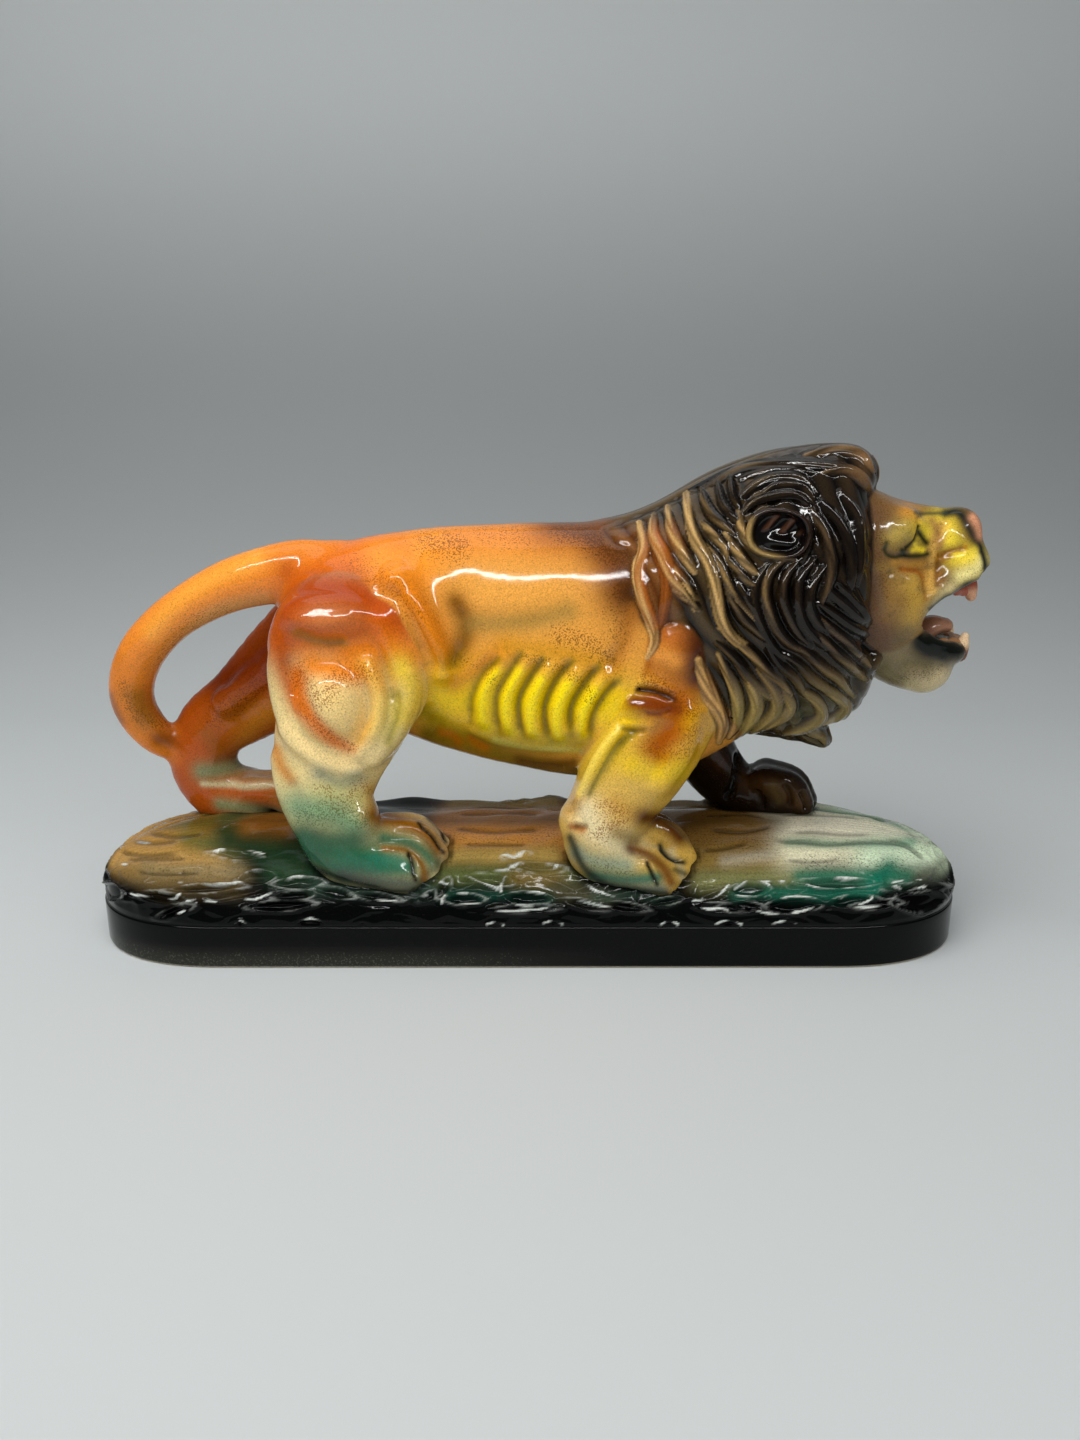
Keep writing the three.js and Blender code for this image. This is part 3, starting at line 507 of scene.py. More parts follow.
# Coils of hair are rolled on over it one by one, nearly black with tan crests. Each is (half width,
# height, how tan its crest is), then the u and v of each point that it lies along.
LOCKS = [
    (3.2, 2.0, 1.0, 44, 186, 46, 176, 44, 166, 46, 156, 50, 146, 52, 138, 49, 131),
    (3.5, 2.6, 0.8, 50, 189, 50, 181, 54, 173, 58, 164, 63, 158, 68, 151),
    (3.0, 2.4, 0.9, 55, 192, 57, 184, 60, 177, 64, 171, 67, 166),
    (3.4, 2.8, 1.0, 62, 197, 64, 187, 67, 179, 72, 171, 75, 163, 77, 155, 79, 147, 83, 140, 89, 135, 96,
     129), (3.0, 2.4, 0.3, 68, 199, 72, 190, 77, 185, 82, 181),
    (2.6, 2.4, 0.1, 74, 202, 77, 193, 80, 189, 85, 185), (2.4, 2.4, 0.1, 79, 204, 81, 196, 84, 190),
    (2.6, 2.2, 0.7, 69, 186, 75, 180, 79, 175, 80, 169),
    (2.8, 2.4, 0.8, 78, 182, 83, 175, 87, 170, 92, 165),
    (2.5, 2.2, 0.4, 79, 173, 84, 167, 88, 163, 93, 159),
    (2.8, 2.5, 0.6, 71, 177, 77, 170, 80, 163, 84, 156, 89, 150, 94, 144),
    (2.7, 2.4, 0.25, 79, 162, 83, 154, 87, 148, 92, 143, 98, 137),
    (2.6, 2.3, 0.1, 84, 163, 88, 156, 92, 150, 97, 143),
    (2.8, 2.3, 0.9, 54, 172, 60, 165, 64, 160, 68, 154),
    (3.0, 1.5, 0.0, 49, 177, 54, 168, 56, 160, 55, 150, 53, 141),
    (2.6, 1.8, 0.6, 58, 160, 62, 157, 66, 154, 70, 150),
    (2.4, 2.4, 0.15, 84, 188, 89, 193, 97, 195.5, 105, 196, 112, 192),
    (3.0, 2.6, 0.85, 83, 191, 85, 184, 89, 178, 94, 174, 100, 172, 107, 171),
    (2.8, 2.4, 0.2, 83, 195, 88, 199, 94, 202, 101, 203, 108, 202, 114, 197),
    (2.0, 2.0, 0.2, 93, 198, 98, 200, 104, 200, 109, 199, 113, 195),
    (3.0, 2.6, 0.5, 112, 191, 117, 184, 120, 176, 122, 168, 121, 160, 119, 153),
    (3.0, 2.6, 0.1, 116, 194, 124, 185, 128, 176, 130, 166, 130, 157),
    (2.6, 2.4, 0.1, 123, 198, 130, 189, 132, 180, 133, 170, 133, 161),
    (2.0, 2.2, 0.2, 111, 188, 112, 182, 112, 176, 110, 170),
    (2.9, 2.6, 0.55, 104, 172, 98, 166, 96, 158, 98, 150, 102, 142, 108, 136, 116, 132),
    (2.9, 2.6, 0.3, 109, 171, 104, 164, 103, 156, 106, 148, 110, 141, 116, 135),
    (2.9, 2.6, 0.15, 115, 171, 110, 164, 109, 156, 111, 147, 116, 140, 122, 134),
    (2.7, 2.4, 0.15, 120, 169, 115, 161, 114, 153, 117, 146, 122, 141),
    (2.7, 2.4, 0.1, 96, 169, 92, 161, 92, 152, 95, 144, 99, 137, 105, 130),
    (2.8, 2.5, 0.1, 119, 161, 125, 155, 131, 150, 138, 144),
    (2.7, 2.5, 0.1, 118, 153, 124, 149, 131, 144, 137, 141, 142, 135),
    (2.7, 2.4, 0.6, 119, 147, 127, 140, 134, 134, 141, 127),
    (2.7, 2.4, 0.65, 117, 142, 125, 134, 132, 128, 140, 121),
    (2.7, 2.4, 0.65, 107, 137, 115, 132, 122, 126, 129, 121, 135, 114),
    (2.7, 2.4, 0.2, 103, 133, 111, 128, 117, 122, 124, 117, 131, 111),
    (2.7, 2.4, 0.1, 97, 137, 103, 128, 110, 122, 115, 114),
    (2.4, 2.2, 0.1, 124, 162, 129, 157, 134, 152, 139, 147),
    (2.6, 2.4, 0.15, 132, 159, 136, 150, 141, 141, 144, 133, 143, 126),
    (2.8, 2.4, 0.8, 78, 143, 85, 138, 92, 132, 98, 126, 104, 121, 109, 115),
    (2.8, 2.4, 0.2, 77, 137, 85, 130, 91, 122, 97, 116, 105, 111),
    (3.8, 3.0, 1.0, 70, 130, 74, 120, 78, 111, 81, 103, 80, 95),
    (3.4, 2.8, 0.8, 78, 132, 84, 121, 87, 112, 87, 104, 84, 97),
    (3.8, 2.8, 0.85, 87, 128, 93, 118, 95, 110, 92, 103, 87, 97),
    (3.4, 2.6, 0.75, 95, 126, 102, 116, 103, 109, 98, 103, 92, 98),
    (3.2, 2.5, 0.65, 105, 118, 109, 110, 105, 105, 98, 100),
    (3.2, 2.5, 0.65, 112, 118, 120, 112, 122, 106, 116, 101, 107, 98),
    (3.2, 2.5, 0.6, 119, 120, 127, 115, 132, 110, 128, 105, 120, 102),
    (2.8, 2.0, 0.4, 111, 101, 118, 99, 123, 97, 125, 93),
    (3.0, 1.6, 0.1, 52, 196, 64, 201, 76, 207, 86, 212, 100, 214),
    (3.0, 1.8, 0.2, 69, 199, 82, 206, 95, 208, 110, 208, 125, 206, 134, 200),
    (2.6, 1.8, 0.9, 108, 212, 120, 214, 130, 212, 136, 205),
    (2.6, 1.8, 0.6, 115, 205, 124, 206, 131, 203, 136, 197),
    (2.6, 1.6, 0.1, 83, 203, 92, 205, 100, 206, 113, 205),
]

# The head
# It is pressed from its own mould, skull, brows, cheeks and muzzle, and luted into the collar. The
# open mouth is cut through from cheek to cheek, and the throat is hollowed behind it.


def hollowed(softness, shape, hole):
    """A solid with another cut out of it, as the melted larger of its distance and minus the hole's."""

    def distance(x, y, z):
        return -melt(-shape[0](x, y, z), hole[0](x, y, z), softness)

    return distance, shape[1], shape[2]


mouth = rope([(168, 0, 144, 2.5, 60), (172, 0, 144, 6, 60), (178, 0, 144, 9, 60), (188, 0, 146, 11.5, 60),
              (203, 0, 150, 18, 60)])
throat = rope([(158, 0, 143, 6, 8), (175, 0, 143, 8, 9)])
flews = [(160, -17, 150, 6, 5), (167, -16, 154, 6, 5), (174, -14, 158, 6, 5), (181, -10, 161, 6, 6)]
head = hollowed(2, hollowed(3, joined(
    6,
    ball((138, 0, 170), (26, 27, 28)),
    ball((150, -15, 151), (19, 13, 21)),
    ball((150, 15, 151), (19, 13, 21)),
    ball((155, -13, 183), (9, 8, 7)),
    ball((155, 13, 183), (9, 8, 7)),
    rope([(158, 0, 172, 17, 17), (180, 0, 169.5, 14.5, 14.5)]),
    rope([(150, 0, 183, 9, 10), (180, 0, 180, 8, 8)]),
    ball((185, 0, 181), (7, 8, 7)),
    ball((185.5, -7, 164), (10.5, 9, 9.5)),
    ball((185.5, 7, 164), (10.5, 9, 9.5)),
    rope(flews),
    rope(mirrored(flews)),
), mouth), throat)

CARVING["head"] = [
    (3.5, 1.2, 147, 179, 149, 182), (1.6, -1.2, 155.5, 188, 155.5, 181), (2.4, 1.0, 149, 184, 152, 179),
    (1.2, -0.9, 142, 177, 143, 174, 146, 172, 150, 172.6, 158, 173),
    (1.0, -0.7, 150, 175, 152, 177, 155, 181.5), (2.0, 0.8, 162, 184, 161.5, 172, 163, 160, 161, 150),
    (1.8, -0.8, 165, 186, 163, 181, 161, 176), (2.0, -1.1, 161, 170, 162, 163, 163.5, 157),
    (2.0, -1.5, 175, 176, 168, 174, 163, 171), (2.0, -1.1, 165, 171, 164, 165, 166, 159),
    (1.6, -0.9, 146, 168, 152, 167, 158, 166, 160, 160, 161, 155),
    (1.6, 0.7, 145, 164.5, 148, 163, 154, 162, 158, 158), (1.6, -0.6, 144, 167, 147, 164, 153, 161),
    (3.0, 0.8, 168, 183, 173, 179), (3.0, -0.9, 138, 182, 137, 168, 141, 154, 146, 144),
    (3.0, -0.9, 146, 150, 149, 142, 151, 134), (1.4, -0.7, 180, 176, 183, 170, 183, 166),
    (1.5, 0.8, 168, 156, 172, 160, 178, 163, 183, 164),
]
COAT["head"] = [
    ("#6a4c30", 1.0), ("#8a6434", 0.9, 7, 136, 200, 146, 194),
    ("#6a4c36", 0.9, 7, 135, 186, 135, 168, 140, 152, 146, 138), ("#94703a", 0.85, 4.5, 147, 160, 147, 150),
    ("#b59b4c", 0.9, 5, 146, 180, 151, 184), ("#cf8e34", 0.8, 3.4, 150, 190, 154, 188, 155.5, 185),
    ("#c09840", 0.9, 5.5, 154, 162, 157, 155, 156, 146), ("#7a6844", 0.7, 4, 154, 142, 152, 136),
    ("#b88434", 0.85, 2.4, 147, 169, 152, 168, 158, 168, 160, 162), ("#94743c", 0.8, 3, 142, 168, 150, 164),
    ("#9c5212", 0.8, 1.1, 150, 167, 156, 166.5, 159, 164), ("#8a5a1c", 0.7, 1.0, 159.5, 162, 160.5, 155),
    ("#f6d83e", 1.0, 5.5, 158, 182, 164, 186, 168, 176, 174, 172, 178, 172),
    ("#d9a44e", 0.8, 3, 164, 184, 162, 178), ("#d8a850", 0.9, 2.2, 162, 178, 162, 168, 163, 158),
    ("#8c5c24", 0.9, 1.8, 168, 172.5, 164.5, 170, 164.5, 165, 166, 161),
    ("#a8701c", 0.9, 1.4, 174, 175.6, 168, 174, 163, 171),
    ("#a87a44", 0.8, 2.2, 160, 186, 163, 181, 164, 176),
    ("#fbec9a", 0.9, 3.5, 174, 164, 180, 167, 182, 170), ("#d8c68c", 0.8, 3, 170, 159, 166, 155, 164, 150),
    ("#20251f", 1.0, 2.3, 165, 189, 169, 189.5, 172, 187.5, 175, 183.5, 178, 179),
    ("#3c4434", 0.8, 0.9, 153, 189.6, 158, 189, 165, 189),
    ("#20251f", 1.0, 1.4, 179, 178, 182, 173, 183.5, 168, 183, 164),
    ("#e9a47c", 0.95, 1.9, 176, 187.5, 178.5, 184, 180, 180.5),
    ("#1c1f19", 1.0, 1.4, 163, 151, 168, 155, 172, 157.5, 176, 160, 180, 161, 184, 162),
    ("#1c1f19", 1.0, 2.4, 176, 160.5, 180, 161.5, 184, 162),
    ("#33361c", 0.9, 1.0, 142.5, 177.5, 142.6, 174.5, 144, 172.6, 147, 171.8, 150, 172.6),
    ("#26290f", 1.0, 1.1, 149, 174.5, 151, 172.6, 155, 172.2, 159, 173),
    ("#26290f", 1.0, 0.9, 150, 174.5, 152, 177, 154.5, 181, 155.5, 184),
    ("#26290f", 1.0, 1.5, 155.8, 181.5, 157, 179, 158.4, 177.4),
    ("#f2d22c", 1.0, 1.1, 153.6, 174.6, 155.4, 174.8, 157.2, 174.6),
    ("#f2d640", 1.0, 0.8, 154, 176.8, 155, 175.4),
]
MIST["head"] = [
    ("#5c3c18", 0.2), ("#6a4a20", 0.5, 6, 140, 192, 138, 175, 142, 158),
    ("#8a5a20", 0.35, 4, 160, 176, 158, 160, 150, 152),
]

# The lower jaw
# A pad of clay with a rolled lip, luted under the head and hollowed along with the mouth.
# Its lip is brushed with black.
lip = [(163, -17, 135, 5, 5), (174, -15, 130, 5, 5), (183, -10, 128.5, 5, 5), (186.5, 0, 128.5, 5, 5)]
lower_jaw = hollowed(2, hollowed(2, joined(
    5,
    rope([(146, 0, 139, 15, 21), (161, 0, 127, 14.5, 17), (174, 0, 120.5, 12.5, 13.5)]),
    rope(lip + mirrored(lip)[::-1][1:]),
), mouth), throat)

CARVING["lower_jaw"] = [
    (2.5, -0.8, 150, 124, 156, 128, 166, 129, 172, 126),
    (1.6, 0.9, 160, 143, 165, 138.5, 170, 136.5, 177, 137),
]
COAT["lower_jaw"] = [
    ("#8c7a58", 1.0), ("#d8c498", 0.95, 5.5, 158, 117, 166, 118, 171, 122),
    ("#75694a", 0.8, 5, 146, 128, 152, 124), ("#6e623e", 0.7, 3, 156, 128, 164, 128),
    ("#0c100c", 1.0, 4.0, 158, 142, 160, 138, 164, 135.5, 170, 134.5, 176, 134),
    ("#0c100c", 1.0, 4.2, 163, 138, 169, 135, 175, 133),
    ("#0c100c", 0.95, 3.2, 160, 136, 164, 133, 170, 131),
]
MIST["lower_jaw"] = [
    ("#5c5238", 0.45, 5, 150, 120, 160, 124, 168, 126),
]

# The luting
# The castings are luted to one another and trimmed just below the top of the log,
# then the seams are wiped and sponged until the clay is one skin.
CASTINGS = {
    "trunk": trunk, "right_hind_leg": right_hind_leg, "left_hind_leg": left_hind_leg,
    "right_fore_leg": right_fore_leg, "left_fore_leg": left_fore_leg, "tail": tail,
    "lower_jaw": lower_jaw, "head": head, "mane": mane,
}
FILLETS = {"right_hind_leg": 5, "left_hind_leg": 6, "right_fore_leg": 4, "left_fore_leg": 5, "tail": 4,
           "lower_jaw": 3, "head": 3, "mane": 2}
NAMES = list(CASTINGS)
GRID_LOW = np.array([-199.0, -56.0, 22.0])
GRID_HIGH = np.array([202.0, 56.0, 221.0])
UNDERCUT = 3.0
MARGIN = 10
SPONGINGS = 3
SPONGE_SHARE = 0.7
LEAST_SLOPE = 0.4

axes = [np.arange(low, high, PITCH, dtype=np.float32) for low, high in zip(GRID_LOW, GRID_HIGH)]
clay = np.full([len(a) for a in axes], FAR_OFF, np.float32)
for name, (distance, low, high) in CASTINGS.items():
    block = tuple(slice(*np.searchsorted(a, (l - MARGIN, h + MARGIN))) for a, l, h in zip(axes, low, high))
    x, y, z = np.meshgrid(*[a[s] for a, s in zip(axes, block)], indexing="ij", sparse=True)
    clay[block] = melt(clay[block], distance(x, y, z).astype(np.float32), FILLETS.get(name, 1))
x, y, z = np.meshgrid(*axes, indexing="ij", sparse=True)
clay = np.maximum(clay, log_top(x, y) - UNDERCUT - z).astype(np.float32)


def skin_of(clay):
    """Surface nets: a vertex in each cell that the surface crosses, a quad round each edge that it crosses.

    A vertex is the mean of the crossings on its cell's twelve edges.
    """
    inside = clay < 0
    corners = list(np.ndindex(2, 2, 2))
    size = np.array(clay.shape) - 1
    count = sum(inside[i:size[0] + i, j:size[1] + j, k:size[2] + k].astype(np.int8) for i, j, k in corners)
    cells = np.argwhere((count > 0) & (count < 8))
    values = {c: clay[cells[:, 0] + c[0], cells[:, 1] + c[1], cells[:, 2] + c[2]] for c in corners}
    total = np.zeros((len(cells), 3))
    crossings = np.zeros(len(cells))
    for axis in range(3):
        for near in (c for c in corners if not c[axis]):
            far = tuple(1 if i == axis else near[i] for i in range(3))
            a, b = values[near], values[far]
            crossed = (a < 0) != (b < 0)
            point = np.tile(np.array(near, float), (len(cells), 1))
            point[:, axis] = np.where(crossed, a / np.where(crossed, a - b, 1), 0)
            total += point * crossed[:, None]
            crossings += crossed
    points = cells + total / crossings[:, None]
    number = np.full(size, -1, np.int64)
    number[tuple(cells.T)] = np.arange(len(cells))
    quads = []
    for axis in range(3):
        one, two = (axis + 1) % 3, (axis + 2) % 3
        edges = np.argwhere(np.diff(inside, axis=axis))
        inner = [(edges[:, i] > 0) & (edges[:, i] < size[i]) for i in (one, two)]
        edges = edges[inner[0] & inner[1]]
        ring = []
        for back_one, back_two in ((1, 1), (0, 1), (0, 0), (1, 0)):
            cell = edges.copy()
            cell[:, one] -= back_one
            cell[:, two] -= back_two
            ring.append(number[tuple(cell.T)])
        ring = np.stack(ring, axis=1)
        quads.append(np.where(inside[tuple(edges.T)][:, None], ring, ring[:, ::-1]))
    return points, np.concatenate(quads)


def gathered(quads, values, count):
    """The sum, at each vertex, of the values of the quads round it, and the number of those quads."""
    corners = quads.ravel()
    total = np.stack([np.bincount(corners, np.repeat(column, 4), count) for column in values.T], axis=1)
    return total, np.bincount(corners, minlength=count)[:, None]


def sponged(values, quads, share):
    """Each vertex's values moved by a share of the way to the mean of the quads round it."""
    total, shares = gathered(quads, values[quads].mean(axis=1), len(values))
    return values + share * (total / np.maximum(shares, 1) - values)


def normals_of(points, quads):
    """Vertex normals: the sum of the crossed diagonals of the quads round each vertex, made one long."""
    across = np.cross(points[quads[:, 2]] - points[quads[:, 0]], points[quads[:, 3]] - points[quads[:, 1]])
    total, _ = gathered(quads, across, len(points))
    return total / np.maximum(np.linalg.norm(total, axis=1, keepdims=True), 1e-9)


def depth_in(clay, cells):
    """The clay's signed distance between grid points, weighted by nearness along each axis."""
    base = np.clip(np.floor(cells).astype(int), 0, np.array(clay.shape) - 2)
    part = cells - base
    depth = np.zeros(len(cells))
    for i, j, k in np.ndindex(2, 2, 2):
        weight = np.prod(np.where([i, j, k], part, 1 - part), axis=1)
        depth += weight * clay[base[:, 0] + i, base[:, 1] + j, base[:, 2] + k]
    return depth


def side_keys(quads, count):
    """A number for each side of each quad, alike for both quads that share it: lower end * count + higher."""
    ends = np.sort(np.stack([quads, np.roll(quads, -1, axis=1)], axis=2).reshape(-1, 2), axis=1)
    return ends[:, 0] * count + ends[:, 1]


def finer(values, quads):
    """One Catmull-Clark step on every column of values: positions, and whatever is painted on them.

    A quad's new point is its mean, F. An edge's is the mean of its ends and the
    quads beside it. A vertex with n quads goes to (F + 2E + (n - 3) P) / n.
    """
    count = len(values)
    centre = values[quads].mean(axis=1)
    keys, edge_of = np.unique(side_keys(quads, count), return_inverse=True)
    edges = np.stack([keys // count, keys % count], axis=1)
    half = values[edges].mean(axis=1)
    beside = np.bincount(edge_of)[:, None]
    rows = np.repeat(centre, 4, axis=0)
    flanks = np.stack([np.bincount(edge_of, column) for column in rows.T], axis=1) / beside
    edge_point = np.where(beside > 1, (half + flanks) / 2, half)
    around, n = gathered(quads, centre, count)
    spokes = np.stack([np.bincount(edges.ravel(), np.repeat(column, 2), count) for column in half.T], axis=1)
    valence = np.bincount(edges.ravel(), minlength=count)[:, None]
    n = np.maximum(n, 1)
    moved = (around / n + 2 * spokes / np.maximum(valence, 1) + (n - 3) * values) / n
    rim = np.unique(edges[beside[:, 0] < 2])
    moved[rim] = values[rim]
    first_edge, first_centre = count, count + len(edges)
    ahead = first_edge + edge_of.reshape(-1, 4)
    middle = first_centre + np.repeat(np.arange(len(quads))[:, None], 4, axis=1)
    small = np.stack([quads, ahead, middle, np.roll(ahead, 1, axis=1)], axis=2).reshape(-1, 4)
    return np.concatenate([moved, edge_point, centre]), small


# Each sponging is followed by a step back to where the clay's own surface lies.
points, quads = skin_of(clay)
for _ in range(SPONGINGS):
    points = sponged(points, quads, SPONGE_SHARE)
    normals = normals_of(points, quads)
    step = 0.5
    here = depth_in(clay, points)
    slope = (depth_in(clay, points + step * normals) - depth_in(clay, points - step * normals)) / (2 * step)
    points = points - normals * np.clip(here / np.maximum(slope, LEAST_SLOPE), -1, 1)[:, None]
points = GRID_LOW + points * PITCH


def grouped(first, second, count):
    """A label for each of count things, the same for all that pairs (first, second) link together.

    Every label drops to the lowest one it is linked to, and then to that one's own, until none changes.
    """
    label = np.arange(count)
    while True:
        low = np.minimum(label[first], label[second])
        lower = label.copy()
        np.minimum.at(lower, label[first], low)
        np.minimum.at(lower, label[second], low)
        lower = lower[lower]
        if (lower == label).all():
            return label
        label = lower


# How far each point of the skin is from every casting's own surface decides whose it is.
# A scrap of skin smaller than a fingertip goes to the casting round it.
SCRAP = 600
depths = np.stack([distance(*points.T.astype(np.float32)) for distance, _, _ in CASTINGS.values()], axis=1)
skin, quads = finer(np.concatenate([points, depths], axis=1), quads)
points, depths = skin[:, :3], skin[:, 3:]
whose = depths[quads].mean(axis=1)
key = side_keys(quads, len(points))
order = np.argsort(key, kind="stable")
key, face = key[order], order // 4
for _ in range(3):
    casting_of = whose.argmin(axis=1)
    twin = np.flatnonzero((key[1:] == key[:-1]) & (casting_of[face[1:]] == casting_of[face[:-1]]))
    patch = grouped(face[twin], face[twin + 1], len(quads))
    scrap = np.flatnonzero(np.bincount(patch, minlength=len(quads))[patch] < SCRAP)
    whose[scrap, casting_of[scrap]] = FAR_OFF
casting_of = whose.argmin(axis=1)


# The carving and the spraying
# The luted lion is carved with a loop tool, its locks are rolled on and combed, and coats of
# colour are airbrushed over the seams. Fine grain and a clear gloss are the same for every casting.
LOCK_RISE = 1.3
STRAND_PITCH = 3.2
MANE_SUNK = 1.4
STRAY_LOCKS = ("trunk", "right_fore_leg")
DRAWN_FLAT = ("left_hind_leg", "left_fore_leg", "tail")
SPRAY_EDGE = 0.9
BLENDED_EDGE = 8 * SPRAY_EDGE
BLENDED = [("trunk", "left_hind_leg"), ("trunk", "left_fore_leg"), ("trunk", "tail"),
           ("left_hind_leg", "tail")]
LEAST_SHARE = 0.004
CAVITY_SHADE = 0.28
HOLLOW_SPACING = 0.75
EAR_U, EAR_V = 98.5, 181.5
EAR_LONG, EAR_HIGH = 12.5, 9.5
EAR_PRESSED = 5.0
MOUTH_PINK = "#8a4f3e"
MANE_DARK, MANE_TAN = "#0c0705", "#d8ae6c"
CHEST_DARK, CHEST_TAN = "#4e3f26", "#c8b068"
FRONT_TAN, REAR_BROWN, CREST_TAN = "#7a6040", "#a4581a", "#8f6a44"
STRAY_DARK, STRAY_TAN = "#4a2a14", "#d8a762"


def smooth(low, high, value):
    """0 at low, 1 at high, held beyond them, and between them the S-shaped t^2 (3 - 2t)."""
    t = np.clip((value - low) / (high - low), 0, 1)
    return t * t * (3 - 2 * t)


def bell(x):
    """The bell curve e^(-x^2)."""
    return np.exp(-(x**2))


def line_of(path):
    """The points (u, v) of a stroke, from the numbers written after its settings."""
    return np.reshape(path, (-1, 2)).astype(float)


def along(u, v, line, steps=5):
    """How far points lie from a smooth line, and how far along it, from 0 to 1, their nearest spot is."""
    curve = through(line, steps) if len(line) > 2 else line
    near = np.full(len(u), 1e9)
    share = np.zeros(len(u))
    spans = len(curve) - 1
    for i, (a, b) in enumerate(zip(curve[:-1], curve[1:])):
        dx, dy = b - a
        t = np.clip(((u - a[0]) * dx + (v - a[1]) * dy) / (dx * dx + dy * dy), 0, 1)
        apart = (u - a[0] - t * dx) ** 2 + (v - a[1] - t * dy) ** 2
        closer = apart < near
        near = np.where(closer, apart, near)
        share = np.where(closer, (i + t) / spans, share)
    return np.sqrt(near), share


def near_line(u, v, line, reach):
    """Which points lie within reach of a line's own box."""
    low, high = line.min(axis=0) - reach, line.max(axis=0) + reach
    return np.flatnonzero((u > low[0]) & (u < high[0]) & (v > low[1]) & (v < high[1]))


def carved(u, v, strokes):
    """Height added by carving strokes: each is height * bell(d / width), faded out over its ends."""
    relief = np.zeros(len(u))
    for width, height, *path in strokes:
        line = line_of(path)
        at = near_line(u, v, line, 3 * width)
        d, share = along(u[at], v[at], line)
        fade = smooth(0, 0.18, share) * smooth(1, 0.82, share) if len(line) > 2 else 1
        relief[at] += height * fade * bell(d / width)
    return relief


def locks_at(u, v):
    """Height of the hair and how tan it is: the tallest lock at each point, each (1 - (d / w)^2)^0.7 high.

    A lock swells to its middle by sin(pi share)^0.45, and cosine strands run along it. Tan lies on
    the crest of the side that the brush was dragged over, broken into streaks.
    """
    height, tan = np.zeros(len(u)), np.zeros(len(u))
    for width, tallest, tint, *path in LOCKS:
        line = line_of(path)
        at = near_line(u, v, line, width)
        d, share = along(u[at], v[at], line)
        swell = 0.25 + 0.75 * np.sin(math.pi * np.clip(share, 0.02, 0.98)) ** 0.45
        round_it = np.clip(1 - (d / (width * swell)) ** 2, 0, 1) ** 0.7
        strands = 0.22 * np.cos(d * STRAND_PITCH) * round_it
        own = (tallest * round_it + strands) * swell
        taller = own > height[at]
        height[at] = np.where(taller, own, height[at])
        streaks = 0.62 + 0.38 * np.sin(share * 13 + d * 2.6 + 1.7 * line[0][0])
        leaning, _ = along(u[at] + 0.3 * width, v[at] + 0.12 * width, line)
        dry = np.clip(1 - (leaning / width) ** 2, 0, 1) ** (8 - 6.6 * tint**2)
        tan[at] = np.where(taller, tint**1.2 * streaks * dry, tan[at])
    return height, tan


def linear(written):
    """A written colour as the linear light that it stands for. One already in linear light stays as it is."""
    if not isinstance(written, str):
        return written
    srgb = np.array([int(written[i:i + 2], 16) for i in (1, 3, 5)]) / 255
    return np.where(srgb <= 0.04045, srgb / 12.92, ((srgb + 0.055) / 1.055) ** 2.4)


def toward(colour, tint, share):
    """Each colour moved its share of the way to a tint: colour + share (tint - colour)."""
    colour = linear(colour)
    return colour + np.asarray(share)[:, None] * (linear(tint) - colour)


def sprayed(u, v, sprays):
    """Coats of colour laid one over another, each as thick as strength * bell(d / reach), or all over."""
    colour = np.zeros((len(u), 3))
    for tint, strength, *stroke in sprays:
        if not stroke:
            colour[:] = linear(tint)
            continue
        reach, line = stroke[0], line_of(stroke[1:])
        at = near_line(u, v, line, 2.5 * reach)
        d, _ = along(u[at], v[at], line)
        colour[at] = toward(colour[at], tint, strength * bell(d / reach))
    return colour


def misted(u, v, sprays):
    """Coarse spray over the coats: its colour, and how densely its droplets lie.

    Where two sprays meet, the colour leans to each by its share of their cover, and the denser one's
    density stands.
    """
    colour, density = np.zeros((len(u), 3)), np.zeros(len(u))
    for tint, strength, *stroke in sprays:
        if not stroke:
            colour[:], density[:] = linear(tint), strength
            continue
        reach, line = stroke[0], line_of(stroke[1:])
        at = near_line(u, v, line, 2.5 * reach)
        d, _ = along(u[at], v[at], line)
        cover = strength * bell(d / reach)
        colour[at] = toward(colour[at], tint, cover / np.maximum(cover + density[at], 1e-6))
        density[at] = np.maximum(density[at], cover)
    return colour, density


def hair(points, normals, u, v):
    """The mane's relief and tan: drawn locks on its flanks, combed ridges over its top and down its chest.

    The combed ridges are |sine| waves a few millimetres apart, bent by slower sines.
    """
    height, tan = locks_at(u, v)
    x, y, z = points.T
    top = 1.3 * np.abs(np.sin(y / 6.5 * math.pi / 2 + 0.5 * np.sin(x / 11)))
    chest = 1.6 * np.abs(np.sin(y / 7 * math.pi / 2 + 0.6 * np.sin(z / 9) + 0.8 * np.sin(x / 8)))
    side = 0.8 * np.abs(np.sin((u * 0.75 + v * 0.55) / 2.2 + 0.8 * np.sin(v / 7)))
    comb = np.where(normals[:, 2] > np.abs(normals[:, 0]), top, chest)
    sideways = np.abs(normals[:, 1])
    fill = comb + smooth(0.15, 0.45, sideways) * (side - comb)
    height = LOCK_RISE * height * smooth(0.05, 0.3, sideways)
    return np.maximum(height, fill), np.where(height > fill, tan, 0.12 * fill)


